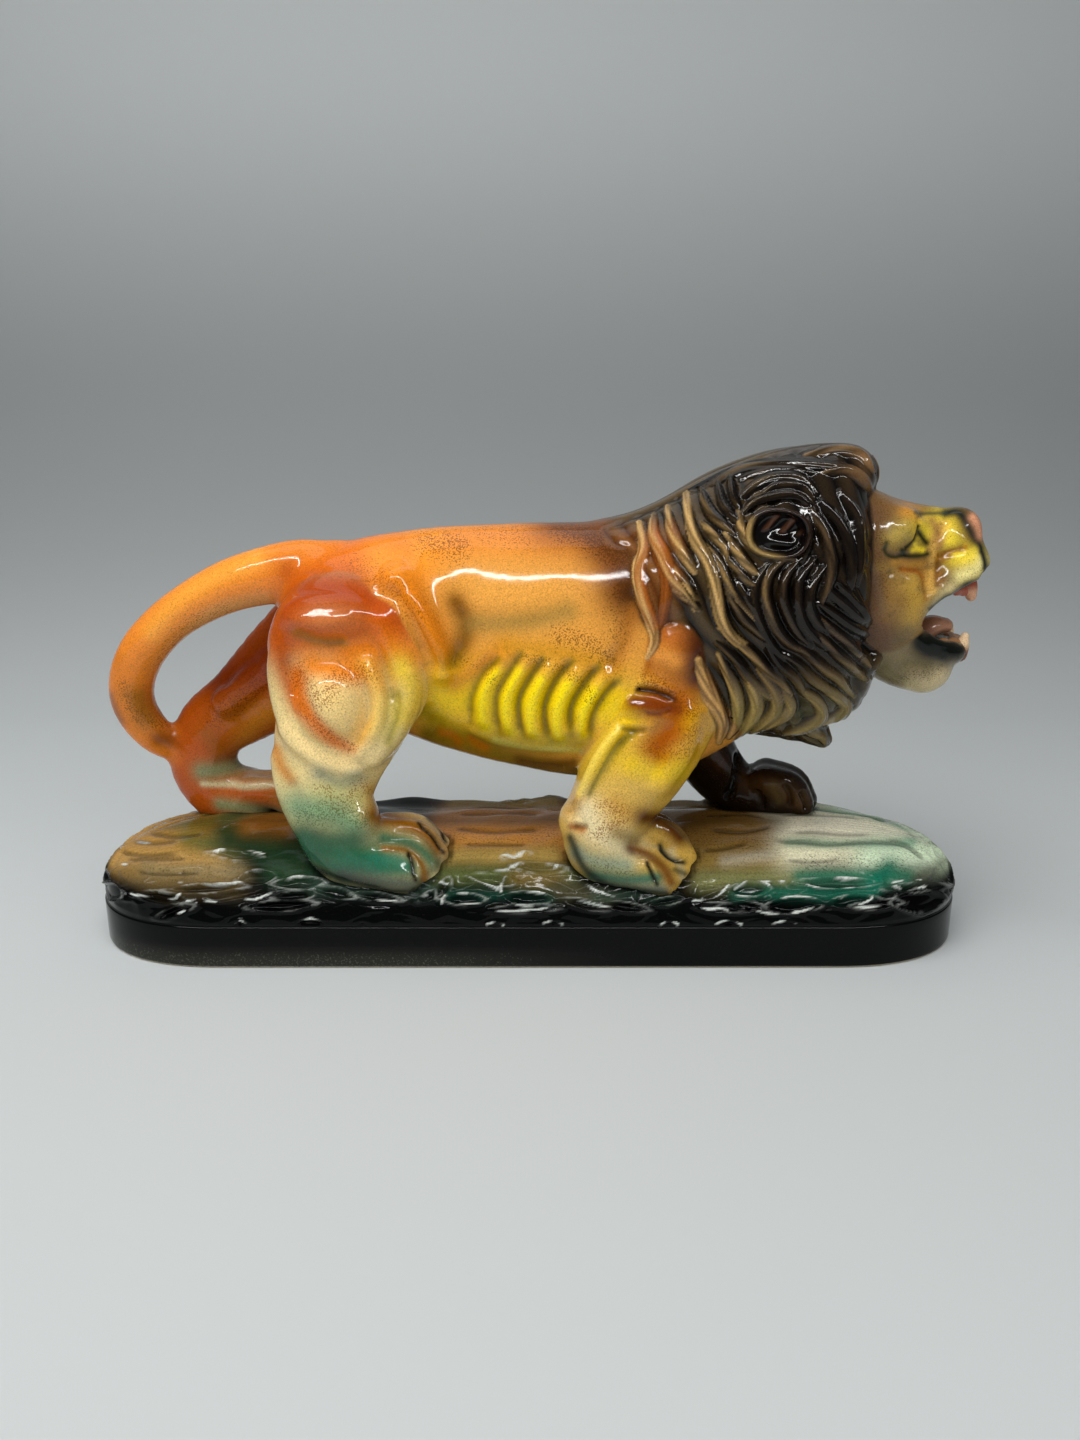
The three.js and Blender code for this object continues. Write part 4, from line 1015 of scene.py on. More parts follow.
def combed_colour(u, v, height, tan):
    """The mane's colours: nearly black between the locks, tan on their crests, cream down the chest."""
    chest = smooth(128, 108, v - 0.25 * np.maximum(u - 100, 0))
    front = smooth(86, 104, u) * (1 - 0.45 * chest)
    rear = smooth(66, 52, u) * smooth(124, 136, v) * smooth(190, 178, v)
    crest = np.exp(-(((u - 134) / 8) ** 2 + ((v - 206) / 8) ** 2)) * smooth(0.2, 2, height)
    tint = toward(toward(MANE_TAN, CHEST_TAN, chest), FRONT_TAN, front)
    base = toward(toward(MANE_DARK, CHEST_DARK, chest), REAR_BROWN, rear)
    # The base darkens to three tenths where the hair is low: painted shade between the locks.
    own = base * (0.3 + 0.7 * smooth(0.2, 2.6, height))[:, None]
    own = toward(own, tint, np.minimum(tan + 0.35 * chest * smooth(1, 2.6, height), 1))
    return toward(own, CREST_TAN, 0.85 * crest)


def shares_of(depths):
    """How much of each casting's carving and colour every point takes, adding up to one.

    A casting's share falls from 1 to 0 as another one's surface comes nearer than its own, within
    SPRAY_EDGE of where they meet, or within BLENDED_EDGE where one spray runs over both.
    """
    edges = np.full((len(NAMES), len(NAMES)), SPRAY_EDGE)
    for pair in BLENDED:
        i, j = NAMES.index(pair[0]), NAMES.index(pair[1])
        edges[i, j] = edges[j, i] = BLENDED_EDGE
    shares = np.ones(depths.shape)
    for i, j in np.argwhere(~np.eye(len(NAMES), dtype=bool)):
        share = smooth(-edges[i, j], edges[i, j], depths[:, j] - depths[:, i])
        shares[:, i] = np.minimum(shares[:, i], share)
    return shares / shares.sum(axis=1, keepdims=True)


def glazed(points, normals, depths, u, v):
    """Relief, coat and mist for a stretch of skin, and a faint waviness from the potter's fingers over it."""
    count = len(points)
    flank = smooth(0.1, 0.4, np.abs(normals[:, 1]))
    shares = shares_of(depths)
    relief, coat = np.zeros(count), np.zeros((count, 3))
    mist, density = np.zeros((count, 3)), np.zeros(count)
    for i, name in enumerate(NAMES):
        at = np.flatnonzero(shares[:, i] > LEAST_SHARE)
        share = shares[at, i]
        across, up = (points[at, 0], points[at, 2]) if name in DRAWN_FLAT else (u[at], v[at])
        if name == "mane":
            height, tan = hair(points[at], normals[at], across, up)
            relief[at] += share * (height - MANE_SUNK)
            coat[at] += share[:, None] * combed_colour(across, up, height, tan)
            continue
        relief[at] += share * flank[at] * carved(across, up, CARVING.get(name, ()))
        own = sprayed(across, up, COAT[name])
        if name in STRAY_LOCKS:
            height, tan = locks_at(across, up)
            relief[at] += share * flank[at] * (0.8 * height - 0.4 * smooth(0, 0.5, height))
            tanned = toward(STRAY_DARK, STRAY_TAN, np.minimum(tan * 1.2, 1))
            own = toward(own, tanned, smooth(0.1, 0.8, height))
        coat[at] += share[:, None] * own
        tint, thick = misted(across, up, MIST[name])
        mist[at] += share[:, None] * tint
        density[at] += share * thick
    x, y, z = points.T
    relief += 0.10 * np.sin(x / 6.1 + np.sin(z / 7.3)) * np.sin(z / 5.2 + np.sin(y / 6.7))
    return relief, coat, mist, density


def fired(points, depths, quads, spacing):
    """A stretch of skin out of the kiln: its points in relief, their coat, mist, mist's density and normals.

    Hollows, where a point lies below the mean of those round it, get a little painted shade.
    """
    normals = normals_of(points, quads)
    sideways = np.abs(normals[:, 1])
    u, v = drawn(points)
    relief, coat, mist, density = glazed(points, normals, depths, u, v)
    ear = smooth(1.0, 0.8, np.hypot((u - EAR_U) / EAR_LONG, (v - EAR_V) / EAR_HIGH))
    ear = ear * smooth(0.5, 0.8, sideways) * (np.abs(points[:, 1]) > 20)
    relief = relief - ear * (relief + EAR_PRESSED)
    x, y, z = points.T
    in_mouth = smooth(1.2, 0.2, np.abs(mouth[0](x, y, z))) * smooth(150, 156, x)
    in_throat = smooth(-0.2, -1.5, throat[0](x, y, z))
    in_mouth = in_mouth * np.maximum(smooth(0.75, 0.45, sideways), in_throat)
    coat = toward(coat, linear(MOUTH_PINK) * smooth(150, 176, x)[:, None], in_mouth)
    points = points + normals * relief[:, None]
    level = points
    for _ in range(3):
        level = sponged(level, quads, 1)
    hollow = ((level - points) * normals).sum(axis=1) * (HOLLOW_SPACING / spacing) ** 2
    # Painted shade in the hollows.
    coat = coat * (1 - CAVITY_SHADE * smooth(0.0, 0.25, hollow))[:, None]
    return points, coat, mist, density, normals_of(points, quads)


body = fired(points, depths, quads, PITCH / 2)

# The face is glazed with a finer brush, so its skin is divided once more.
FACE = [NAMES.index("head"), NAMES.index("lower_jaw")]
of_face = np.isin(casting_of, FACE)
used, local = np.unique(quads[of_face], return_inverse=True)
skin, face_quads = finer(np.concatenate([points[used], depths[used]], axis=1), local.reshape(-1, 4))
face = fired(skin[:, :3], skin[:, 3:], face_quads, PITCH / 4)
face_casting = np.repeat(casting_of[of_face], 4)


def new_mesh(name, points, corners, sizes):
    """A mesh from the points, a flat list of its faces' corners and each face's number of them.

    Its points go from the maker's millimetres to metres in the frame's own axes.
    """
    mesh = bpy.data.meshes.new(name)
    mesh.vertices.add(len(points))
    mesh.vertices.foreach_set("co", ((points + [PLINTH_X, 0, 0]) * MM).astype(np.float32).ravel())
    mesh.loops.add(len(corners))
    mesh.loops.foreach_set("vertex_index", corners.astype(np.int32))
    mesh.polygons.add(len(sizes))
    mesh.polygons.foreach_set("loop_start", np.concatenate([[0], np.cumsum(sizes)[:-1]]).astype(np.int32))
    mesh.update(calc_edges=True)
    return mesh


def painted(mesh, coat, mist, density):
    """The sprayed colours as two attributes of the mesh's points, the mist's density in its alpha."""
    for name, rgb, alpha in (("coat", coat, np.ones(len(coat))), ("mist", mist, density)):
        layer = mesh.color_attributes.new(name=name, type="FLOAT_COLOR", domain="POINT")
        layer.data.foreach_set("color", np.column_stack([rgb, alpha]).astype(np.float32).ravel())


def wired(tree, kind, inputs=(), **settings):
    """A shader node with its settings made, and each input given a value or another node's output."""
    node = tree.nodes.new(kind)
    for name, value in settings.items():
        setattr(node, name, value)
    for socket, value in dict(inputs).items():
        if isinstance(value, bpy.types.NodeSocket):
            tree.links.new(value, node.inputs[socket])
        else:
            node.inputs[socket].default_value = value
    return node


def airbrush():
    """Sprayed colour seen close: droplets of the mist's colour where fine noise falls below its density.

    The same noise mottles the colour, and a slower one varies the gloss and ripples the glaze.
    """
    group = bpy.data.node_groups.new("airbrush", "ShaderNodeTree")
    group.interface.new_socket("Grain", in_out="INPUT", socket_type="NodeSocketFloat")
    for name, kind in (("Colour", "Color"), ("Roughness", "Float"), ("Normal", "Vector")):
        group.interface.new_socket(name, in_out="OUTPUT", socket_type="NodeSocket" + kind)
    fineness = wired(group, "NodeGroupInput").outputs["Grain"]
    place = wired(group, "ShaderNodeTexCoord").outputs["Object"]
    coat = wired(group, "ShaderNodeAttribute", attribute_name="coat")
    mist = wired(group, "ShaderNodeAttribute", attribute_name="mist")
    askew = wired(group, "ShaderNodeMapping", {"Vector": place, "Rotation": GRAIN_TURN})
    grain = wired(group, "ShaderNodeTexNoise",
                  {"Vector": askew.outputs["Vector"], "Scale": fineness, "Detail": 2}).outputs["Fac"]
    spread = wired(group, "ShaderNodeMapRange", {"Value": grain, "From Min": 0.3, "From Max": 0.7})
    over = wired(group, "ShaderNodeMath", {0: mist.outputs["Alpha"], 1: spread.outputs["Result"]},
                 operation="SUBTRACT")
    sharp = wired(group, "ShaderNodeMapRange", {"Value": over.outputs[0], "From Max": 0.3, "To Max": 0.7})
    mix = wired(group, "ShaderNodeMix", {"Factor": sharp.outputs["Result"], "A": coat.outputs["Color"],
                                         "B": mist.outputs["Color"]}, data_type="RGBA")
    mottle = wired(group, "ShaderNodeMapRange", {"Value": grain, "From Min": 0.3, "From Max": 0.7,
                                                 "To Min": 0.78, "To Max": 1.16})
    speckled = wired(group, "ShaderNodeVectorMath",
                     {0: mix.outputs["Result"], "Scale": mottle.outputs["Result"]}, operation="SCALE")
    flow = wired(group, "ShaderNodeTexNoise", {"Vector": place, "Scale": 160}).outputs["Fac"]
    gloss = wired(group, "ShaderNodeMapRange", {"Value": flow, "To Min": 0.06, "To Max": 0.16})
    ripple = wired(group, "ShaderNodeBump", {"Height": flow, "Strength": 0.12, "Distance": 0.0004})
    wired(group, "NodeGroupOutput", {"Colour": speckled.outputs[0], "Roughness": gloss.outputs["Result"],
                                     "Normal": ripple.outputs["Normal"]})
    return group


GRAIN_TURN = (0.6, 0.9, 0.4)
GLAZE_IOR = 1.5
AIRBRUSH = airbrush()


def glaze(name, grain, gleam=0.3):
    """Clear glossy glaze over sprayed colour: grain is its fineness, gleam how strongly it mirrors."""
    material = bpy.data.materials.new(name)
    material.use_nodes = True
    tree = material.node_tree
    spray = wired(tree, "ShaderNodeGroup", {"Grain": grain}, node_tree=AIRBRUSH)
    shader = tree.nodes["Principled BSDF"]
    for output, socket in (("Colour", "Base Color"), ("Roughness", "Roughness"), ("Normal", "Normal")):
        tree.links.new(spray.outputs[output], shader.inputs[socket])
    shader.inputs["IOR"].default_value = GLAZE_IOR
    shader.inputs["Specular IOR Level"].default_value = gleam
    return material


GLAZES = {"coat_glaze": glaze("coat_glaze", 1500), "face_glaze": glaze("face_glaze", 1700),
          "mane_glaze": glaze("mane_glaze", 1500, gleam=0.34)}
SLOTS = {"mane": "mane_glaze", "head": "face_glaze", "lower_jaw": "face_glaze"}
SEAM_DEPTH = 6.0


def closed(points, quads, normals, layers):
    """A casting's own shell, its open rims closed so that it is a solid.

    Each rim gets a fan of triangles to a point in its middle, pushed in against the
    rim's mean normal.
    """
    count = len(points)
    starts, ends = quads.ravel(), np.roll(quads, -1, axis=1).ravel()
    rim = ~np.isin(starts * count + ends, ends * count + starts)
    a, b = starts[rim], ends[rim]
    _, loop = np.unique(grouped(a, b, count)[a], return_inverse=True)
    share = np.bincount(loop)[:, None]

    def mean(values):
        return np.stack([np.bincount(loop, column) for column in values[a].T], axis=1) / share

    inward = mean(normals)
    points = np.concatenate([points, mean(points) - SEAM_DEPTH * inward])
    normals = np.concatenate([normals, -inward / np.linalg.norm(inward, axis=1, keepdims=True)])
    layers = [np.concatenate([layer, mean(layer.reshape(count, -1)).reshape((-1,) + layer.shape[1:])])
              for layer in layers]
    fan = np.stack([b, a, count + loop], axis=1)
    corners = np.concatenate([quads.ravel(), fan.ravel()])
    return points, normals, layers, corners, np.repeat([4, 3], [len(quads), len(fan)])


def dipped(name, mesh, slot):
    """A finished mesh in its glaze, set on the lion."""
    mesh.materials.append(GLAZES[slot])
    piece = bpy.data.objects.new(name, mesh)
    bpy.context.scene.collection.objects.link(piece)
    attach(piece, "root")
    return piece


for i, name in enumerate(NAMES):
    points, coat, mist, density, normals = face if i in FACE else body
    own = face_quads[face_casting == i] if i in FACE else quads[casting_of == i]
    used, local = np.unique(own, return_inverse=True)
    layers = [coat[used], mist[used], density[used]]
    shell, shell_normals, layers, corners, sizes = closed(
        points[used], local.reshape(-1, 4), normals[used], layers)
    mesh = new_mesh(name, shell, corners, sizes)
    mesh.normals_split_custom_set_from_vertices(shell_normals)
    painted(mesh, *layers)
    piece = dipped(name + "_casting", mesh, SLOTS.get(name, "coat_glaze"))
    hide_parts(name)

# The ears
# Two small dishes pressed by thumb and luted into the mane, with a glossy black lobe
# and a few combed hairs inside. The locks are dressed round their rims.
EAR_OUT = 38.5
EAR_SHARE = 0.97
EAR_TILT = math.radians(-7)
EAR_SQUARENESS = 2.4
EAR_BLACK, EAR_HAIR, EAR_BACK, EAR_RIM = "#0b0706", "#5a3520", "#4a2e1c", "#a98a52"
EAR_PROFILE = [(0.05, -1.0), (0.5, -0.8), (0.85, 0.4), (1.0, 2.6), (1.05, 4.6), (1.02, 5.8), (0.95, 6.3),
               (0.88, 5.8), (0.82, 4.6), (0.76, 3.0), (0.66, 1.9), (0.5, 1.3), (0.3, 1.0), (0.03, 0.9)]


def ear_dish(side):
    """A dish swept round an oval: rings of a profile (share of the oval, height out from the mane).

    The oval is |a|^2.4 + |b|^2.4 = 1. Inside, the lobe is a bump and the hairs are a sine across it.
    """
    profile = through(EAR_PROFILE, 5)
    angle = np.linspace(0, 2 * math.pi, 96, endpoint=False)
    cos, sin = np.cos(angle), np.sin(angle)
    oval = (np.abs(cos) ** EAR_SQUARENESS + np.abs(sin) ** EAR_SQUARENESS) ** (-1 / EAR_SQUARENESS)
    a, b = profile[:, :1] * oval * cos, profile[:, :1] * oval * sin
    out = profile[:, 1:] + np.zeros(len(angle))
    row = np.arange(len(profile))[:, None]
    within = smooth(0.85, 0.6, profile[:, :1]) * (row > len(profile) / 2)
    lobe = np.exp(-(((a - 0.18) / 0.5) ** 2) - ((b + 0.38) / 0.27) ** 2)
    hairs = smooth(-0.1, 0.2, b) * np.sin(11 * a - 5 * b)
    out = out + within * (3.2 * lobe + 0.7 * hairs)
    long, high = EAR_LONG * EAR_SHARE * a, EAR_HIGH * EAR_SHARE * b
    scale = (-EYE[1] - EAR_OUT) / (-EYE[1] - DRAWING_PLANE)
    x = EYE[0] + (EAR_U - EYE[0]) * scale + long * math.cos(EAR_TILT) - high * math.sin(EAR_TILT)
    z = EYE[2] + (EAR_V - EYE[2]) * scale + long * math.sin(EAR_TILT) + high * math.cos(EAR_TILT)
    points = np.stack([x, side * (EAR_OUT + out), z], axis=2).reshape(-1, 3)
    coat = toward(EAR_BLACK, EAR_HAIR, (within * hairs * (hairs > 0)).ravel())
    coat = toward(coat, EAR_BACK, 0.3 * ((row < len(profile) / 2) * np.ones(len(angle))).ravel())
    rim = bell((profile[:, :1] - 0.98) / 0.12) * (row > 12)
    return points, toward(coat, EAR_RIM, (rim * smooth(-0.2, -1.0, a + 0.8 * b)).ravel()), a.shape


def tube_quads(rows, columns):
    """The four-cornered faces of a grid that closes round its columns."""
    row, column = np.divmod(np.arange((rows - 1) * columns), columns)
    beside = (column + 1) % columns
    return np.stack([row * columns + column, row * columns + beside,
                     (row + 1) * columns + beside, (row + 1) * columns + column], axis=1)


def wrapped(shape, outward):
    """Corners of a tube's faces, each end capped by one face, and how many each face has."""
    rows, columns = shape
    quads = tube_quads(rows, columns)
    first, last = np.arange(columns)[::-1], np.arange(columns) + (rows - 1) * columns
    if outward < 0:
        quads, first, last = quads[:, ::-1], first[::-1], last[::-1]
    return np.concatenate([quads.ravel(), first, last]), np.array([4] * len(quads) + [columns] * 2)


def small_piece(name, points, shape, outward, coat, mist, density, slot):
    """One small modelled piece, painted, glazed and luted on."""
    mesh = new_mesh(name, points, *wrapped(shape, outward))
    painted(mesh, coat, mist, density)
    return dipped(name, mesh, slot)


for name, side in (("right_ear", -1), ("left_ear", 1)):
    points, coat, shape = ear_dish(side)
    piece = small_piece(name + "_dish", points, shape, -side, coat, coat, np.zeros(len(coat)), "mane_glaze")
    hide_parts(name)

# The mouth's furniture
# Tongue, fangs and gums are rolled between the fingers, luted in, and brushed with
# cream over pink-brown.
GLAZES["tooth_glaze"] = glaze("tooth_glaze", 3200)
MOUTH_MIST = "#8a4c34"


def roll(beads, lean, steps=6, columns=28, notches=0.0, teeth=0.0):
    """A roll of clay along beads (x, y, z, radius along lean, half width), with domed ends.

    At each step an ellipse stands across the path. Notches part it into teeth: its radius
    is multiplied by 1 - notches |cos(pi teeth share)|^6.
    """
    string = through(beads, steps)
    tangent = np.gradient(string[:, :3], axis=0)
    tangent /= np.linalg.norm(tangent, axis=1, keepdims=True)
    side = np.cross(tangent, lean)
    side /= np.linalg.norm(side, axis=1, keepdims=True)
    up = np.cross(side, tangent)
    last = len(string) - 1
    dome = np.sin(np.radians([88, 72, 50, 25]))
    at = np.concatenate([[0] * 4, np.arange(last + 1), [last] * 4])
    push = np.concatenate([-dome, np.zeros(last + 1), dome[::-1]])[:, None]
    share = np.linspace(0, 1, last + 1)[at][:, None]
    shrink = np.sqrt(1 - push**2) * (1 - notches * np.abs(np.cos(math.pi * teeth * share)) ** 6)
    radius, width = string[at, 3:4], string[at, 4:5]
    angle = np.linspace(0, 2 * math.pi, columns, endpoint=False)[None, :, None]
    ring = (string[at, :3] + tangent[at] * push * np.minimum(radius, width))[:, None, :]
    ring = ring + (radius * shrink)[:, :, None] * np.cos(angle) * up[at][:, None, :]
    ring = ring + (width * shrink)[:, :, None] * np.sin(angle) * side[at][:, None, :]
    return ring.reshape(-1, 3), (len(at), columns), np.repeat(share.ravel(), columns)


def mouth_piece(name, beads, lean, from_colour, to_colour, **shape_of):
    """A roll for the mouth, sprayed from one colour at its start to another at its end."""
    points, shape, share = roll(beads, lean, **shape_of)
    coat = toward(from_colour, to_colour, smooth(0.15, 0.75, share))
    mist = np.tile(linear(MOUTH_MIST), (len(coat), 1))
    return small_piece(name, points, shape, 1, coat, mist, np.full(len(coat), 0.25), "tooth_glaze")


tongue = mouth_piece("tongue_roll", [(158, 0, 127, 5, 8), (168, 0, 132, 5, 8.5), (176, 0, 138, 4.5, 8),
                                     (182, 0, 138.5, 3.2, 6)], (0, 0, 1), "#74463a", "#b48468", columns=40)
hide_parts("tongue")
UPPER_FANG = [(187, 8, 159, 3.4, 3.4), (188, 8.3, 155.5, 3.2, 3.2), (188.8, 8.5, 152.5, 2.3, 2.3)]
LOWER_FANG = [(186.5, 8.5, 127, 3.2, 3.2), (187.2, 8.6, 131, 3, 3), (188, 8.8, 135, 1.8, 1.8)]
for name, side in (("right", -1), ("left", 1)):
    fangs = (UPPER_FANG, LOWER_FANG)
    upper, lower = ([(x, side * y, z, *girth) for x, y, z, *girth in fang] for fang in fangs)
    piece = mouth_piece("upper_%s_fang_cone" % name, upper, (1, 0, 0), "#a4513c", "#d9a27e")
    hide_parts("upper_%s_fang" % name)
    piece = mouth_piece("lower_%s_fang_cone" % name, lower, (1, 0, 0), "#7c4a34", "#f0cfa4")
    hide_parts("lower_%s_fang" % name)
upper_arch = [(175, -10.5, 156, 2.6, 3), (182, -9.5, 155.5, 2.8, 3), (186.5, -7, 155, 2.8, 3),
              (189, 0, 155, 2.6, 3)]
lower_arch = [(170, -11.5, 132, 3, 3), (178, -11, 131.5, 3.2, 3), (185, -8, 131.5, 3.2, 3),
              (187.5, 0, 131.5, 3, 3)]
for name, arch, gum in (("upper_teeth", upper_arch, "#b0614a"), ("lower_teeth", lower_arch, "#9c7048")):
    mouth_piece(name, arch + mirrored(arch)[-2::-1], (0, 0, 1), gum, gum, notches=0.25, teeth=9)

# The plinth's shell and its surface
# Chips like pointed lenses lie round the log's side, each scooped out inside a raised
# rim, and fade into worn, straight-grained wood on top. The band below stays smooth.
COLUMNS = 940
BEAD = 0.8
CHIP_RISE = 23.0
CHIPS_ROUND = 51
FOOT_ROUND = 1.2
LEDGE_RISE = 4.0
LEDGE_BACK = 35.0
SCOOP_DEPTH = 1.4
GLINT_HALF = 0.6
PLINTH_HEADROOM = 99.0
HOLLOW_LOW = 12.0
HOLLOW_INSETS = (PLINTH_HALF_DEPTH, 44, 34, 24, 15, 9)
FIRST_ROW, CHIP_STEP, TOP_STEP = 1.2, 0.6, 1.15
FOOT_BLACK, HIGHLIGHT_PALE, BARE_CLAY = "#040505", "#dde2da", "#b9ae98"
DUST_GREY, DUST_MIST = "#2f302a", "#5c5c4e"
# Drawn chips: (u, v, half length, half height, tilt in degrees). Then ridges and grooves as carving
# strokes, and lines along the edges of the chips that are raised a little and painted pale as highlights.
LENSES = [
    (-118, 33, 8, 3, 8), (-108, 20, 13, 2.4, 4), (-102, 24.5, 8, 2, 6), (-100, 30.5, 10, 2.4, 3),
    (-84, 26, 8, 2.4, -12), (-66, 24, 9, 1.8, -8), (-43, 24.5, 5, 1.8, 25), (-28, 23, 8, 2.6, 0),
    (-37, 28, 5, 2.4, 60), (-16, 32, 9, 2.4, -10), (0, 23.5, 10, 2.8, -3), (-1, 18.5, 13, 1.8, 2),
    (5, 37.5, 10, 2, -3), (-5, 43, 5, 1.5, 8), (42, 19.5, 9, 1.8, -8), (25, 20.5, 9, 2, -14),
    (84, 19, 9, 2, -4), (96, 27.5, 8.5, 3.2, 2), (93, 19.2, 9, 2.4, 0), (116, 20, 12, 3.6, 3),
    (142, 22, 10, 3, 4), (134, 30.5, 16, 2.3, 0), (152, 20.5, 10, 2, 6), (168, 28.5, 11, 1.8, 4),
    (170, 22.5, 11, 5.2, 4), (-127, 43.5, 9, 1.5, -6), (-140, 28, 16, 1.9, 4), (-160, 24, 10, 2.4, -8),
    (-155, 17, 8, 2, 20), (-182, 27, 4, 5, 60), (60, 22, 7, 1.5, 10), (-96, 9.8, 8, 3.8, 0),
    (-127, 9.8, 4, 3, 0), (-73, 9.6, 4, 2.4, 0), (-15, 9.6, 4, 2.2, 0), (11, 9.6, 5, 2.8, 0),
    (62, 9.6, 4, 2.6, 0), (88, 9.6, 6, 3, 0), (114, 9.6, 7, 2.6, 0),
]
RIDGES = [
    (1.6, 1.2, 84, 40, 90, 41, 97, 43, 105, 44), (1.4, 0.9, 66, 22, 75, 24, 82, 27, 88, 31),
    (1.5, 1.0, 157, 29, 160, 25, 164, 20, 168, 17, 176, 17, 184, 19),
    (1.4, -0.8, 100, 52, 115, 50, 130, 49, 150, 50, 165, 49), (1.2, -0.7, 110, 55, 130, 54, 150, 54),
    (1.4, 0.9, -170, 40, -160, 38, -150, 38, -135, 39), (1.3, -0.8, -172, 50, -160, 50, -150, 51),
    (1.4, 0.8, -165, 27, -150, 25, -135, 26, -120, 30), (1.6, 1.0, 112, 31, 117, 33, 124, 30),
    (1.3, 0.9, 140, 40, 148, 35, 156, 33), (1.1, -1.0, -178, 46, -165, 44, -150, 45),
    (1.1, -0.9, -176, 42, -160, 42, -146, 43), (1.1, -0.9, -172, 36, -155, 35, -140, 36),
    (1.1, -0.9, -165, 54, -150, 53, -138, 54), (1.1, -0.9, -34, 56, -15, 55, 8, 56),
    (1.1, -0.8, -30, 49, -14, 48.5, 2, 49.5), (1.1, -0.9, 76, 56, 92, 55, 106, 57),
    (1.1, -0.9, 74, 46, 84, 47, 96, 50), (1.1, -1.0, 150, 57, 160, 56, 168, 52),
    (1.1, -1.0, 154, 52, 164, 48, 172, 42), (1.2, -1.2, 160, 58, 168, 54, 175, 48),
    (1.1, -0.8, 110, 42, 122, 41, 136, 42),
]
GLINTS = [
    (-70, 23, -62, 22.5, -55, 22, -47, 24, -43, 26), (-38, 20, -37, 24, -34, 30, -40, 31),
    (-40, 36, -34, 35, -25, 33, -18, 30, -13, 28, -10, 33, 0, 34.5, 10, 35.5, 17, 36.5),
    (-20, 36.5, -8, 37, -3, 39.5, 8, 39.5, 15, 37.5), (-34, 25.5, -28, 25.7, -22, 25.5),
    (-28, 43.5, -18, 44, -8, 43, -2, 44.5, 1, 43.5, -4, 42), (-9, 26, 5, 26, 11, 23),
    (-36, 20.5, -22, 21, -17, 19, -13, 17.5, 0, 18, 8, 19, 12, 21.5),
    (-12, 32, -12, 27, -9, 22, -3, 20, 5, 20), (17, 22.5, 24, 22, 33, 19.5, 42, 19.5, 50, 19),
    (15, 38, 22, 33, 28, 28, 35, 25, 48, 21), (5, 11, 10, 12.4, 16, 10.6),
    (-155, 31.5, -148, 31, -144, 30, -130, 30, -124, 31, -130, 28), (-150, 22, -143, 22.5, -135, 21.5),
    (-126, 23.5, -120, 23, -112, 26, -108, 30, -102, 33, -95, 33), (-178, 40, -174, 39.6, -170, 39.5),
    (-172, 50.5, -165, 50, -156, 50.5), (-175, 26, -165, 24, -155, 23.5, -150, 26),
    (-160, 14.5, -152, 17, -148, 19), (70, 22, 78, 23, 84, 26, 88, 31),
    (75, 20, 78, 18.5, 86, 18.5, 90, 15.5, 97, 18, 104, 16.5, 113, 15.5),
    (88, 27, 93, 30, 97, 32, 102, 31, 106, 28), (100, 31, 106, 31.3, 112, 31.5),
    (86, 24.5, 96, 24.6, 105, 24.2), (107, 23, 117, 24.3, 127, 23, 126, 20, 120, 17.5, 113, 16.5),
    (122, 33.2, 136, 32.7, 150, 32.3), (118, 31, 124, 29, 130, 28.2, 145, 28.5),
    (134, 22.5, 141, 25, 150, 24, 146, 21, 140, 19.5), (128, 18, 140, 19, 150, 19.5, 163, 22),
    (157, 29, 165, 28.3, 175, 29.5), (156, 30.5, 163, 31.5, 172, 32.5),
    (-104, 10.6, -99, 13.2, -94, 13.4, -88, 10.6), (-130, 10.8, -127, 12.6, -124, 10.8),
    (57, 10.5, 62, 12.4, 67, 10.5), (81, 10.5, 86, 12.6, 90, 12.2, 95, 10.5),
    (105, 10.5, 112, 12.4, 119, 10.6), (-20, 10.5, -15, 11.8, -10, 10.5),
    (-138, 44, -130, 46, -120, 45.5, -112, 43),
]
PLINTH_COAT = [
    ("#050606", 1), ("#4c4026", 0.9, 7, -170, 31, -130, 30), ("#b08c50", 1, 9, -182, 44, -135, 42),
    ("#b78a3e", 0.8, 7, -175, 50, -138, 54), ("#8a7b56", 0.6, 4, -165, 37, -125, 36),
    ("#56521c", 0.8, 5, -156, 61, -126, 57), ("#4a5a28", 0.7, 5, -146, 51, -130, 48),
    ("#183620", 0.95, 9, -128, 51, -98, 44), ("#2c4a30", 0.7, 6, -110, 36, -96, 34),
    ("#8a5a20", 0.8, 5, -120, 57, -104, 57), ("#31463a", 0.9, 5, -92, 30, -45, 29),
    ("#cc8c42", 1, 8, -36, 53, 14, 53), ("#b09450", 0.9, 5, -36, 43, 10, 44),
    ("#5a6438", 0.9, 5, -38, 35, 16, 34), ("#7a6030", 0.7, 5, -5, 33, 12, 33),
    ("#123d30", 0.7, 4, -34, 25, 8, 24), ("#4d4a34", 0.8, 5, 14, 28, 36, 22),
    ("#2c4034", 0.7, 4, 30, 24, 60, 24), ("#80602e", 1, 10, 62, 52, 100, 55),
    ("#94783c", 0.9, 7, 74, 41, 108, 42), ("#7f8050", 0.9, 5, 76, 32, 116, 34),
    ("#f6efd4", 1, 10, 116, 57, 176, 55), ("#ece8c4", 1, 8, 114, 46, 152, 46),
    ("#dcf0cc", 1, 8, 148, 44, 178, 46), ("#33765a", 0.9, 4, 118, 34, 164, 34),
    ("#1b5f4a", 0.9, 4, 92, 26, 150, 26), ("#127058", 0.9, 5, 150, 31, 156, 38),
    ("#2f8a6a", 0.6, 2.5, 112, 50, 135, 49, 165, 50), ("#3d3626", 0.35, 3, 168, 32, 180, 42),
    ("#b5b09c", 0.6, 3, 85, 41, 105, 44),
]
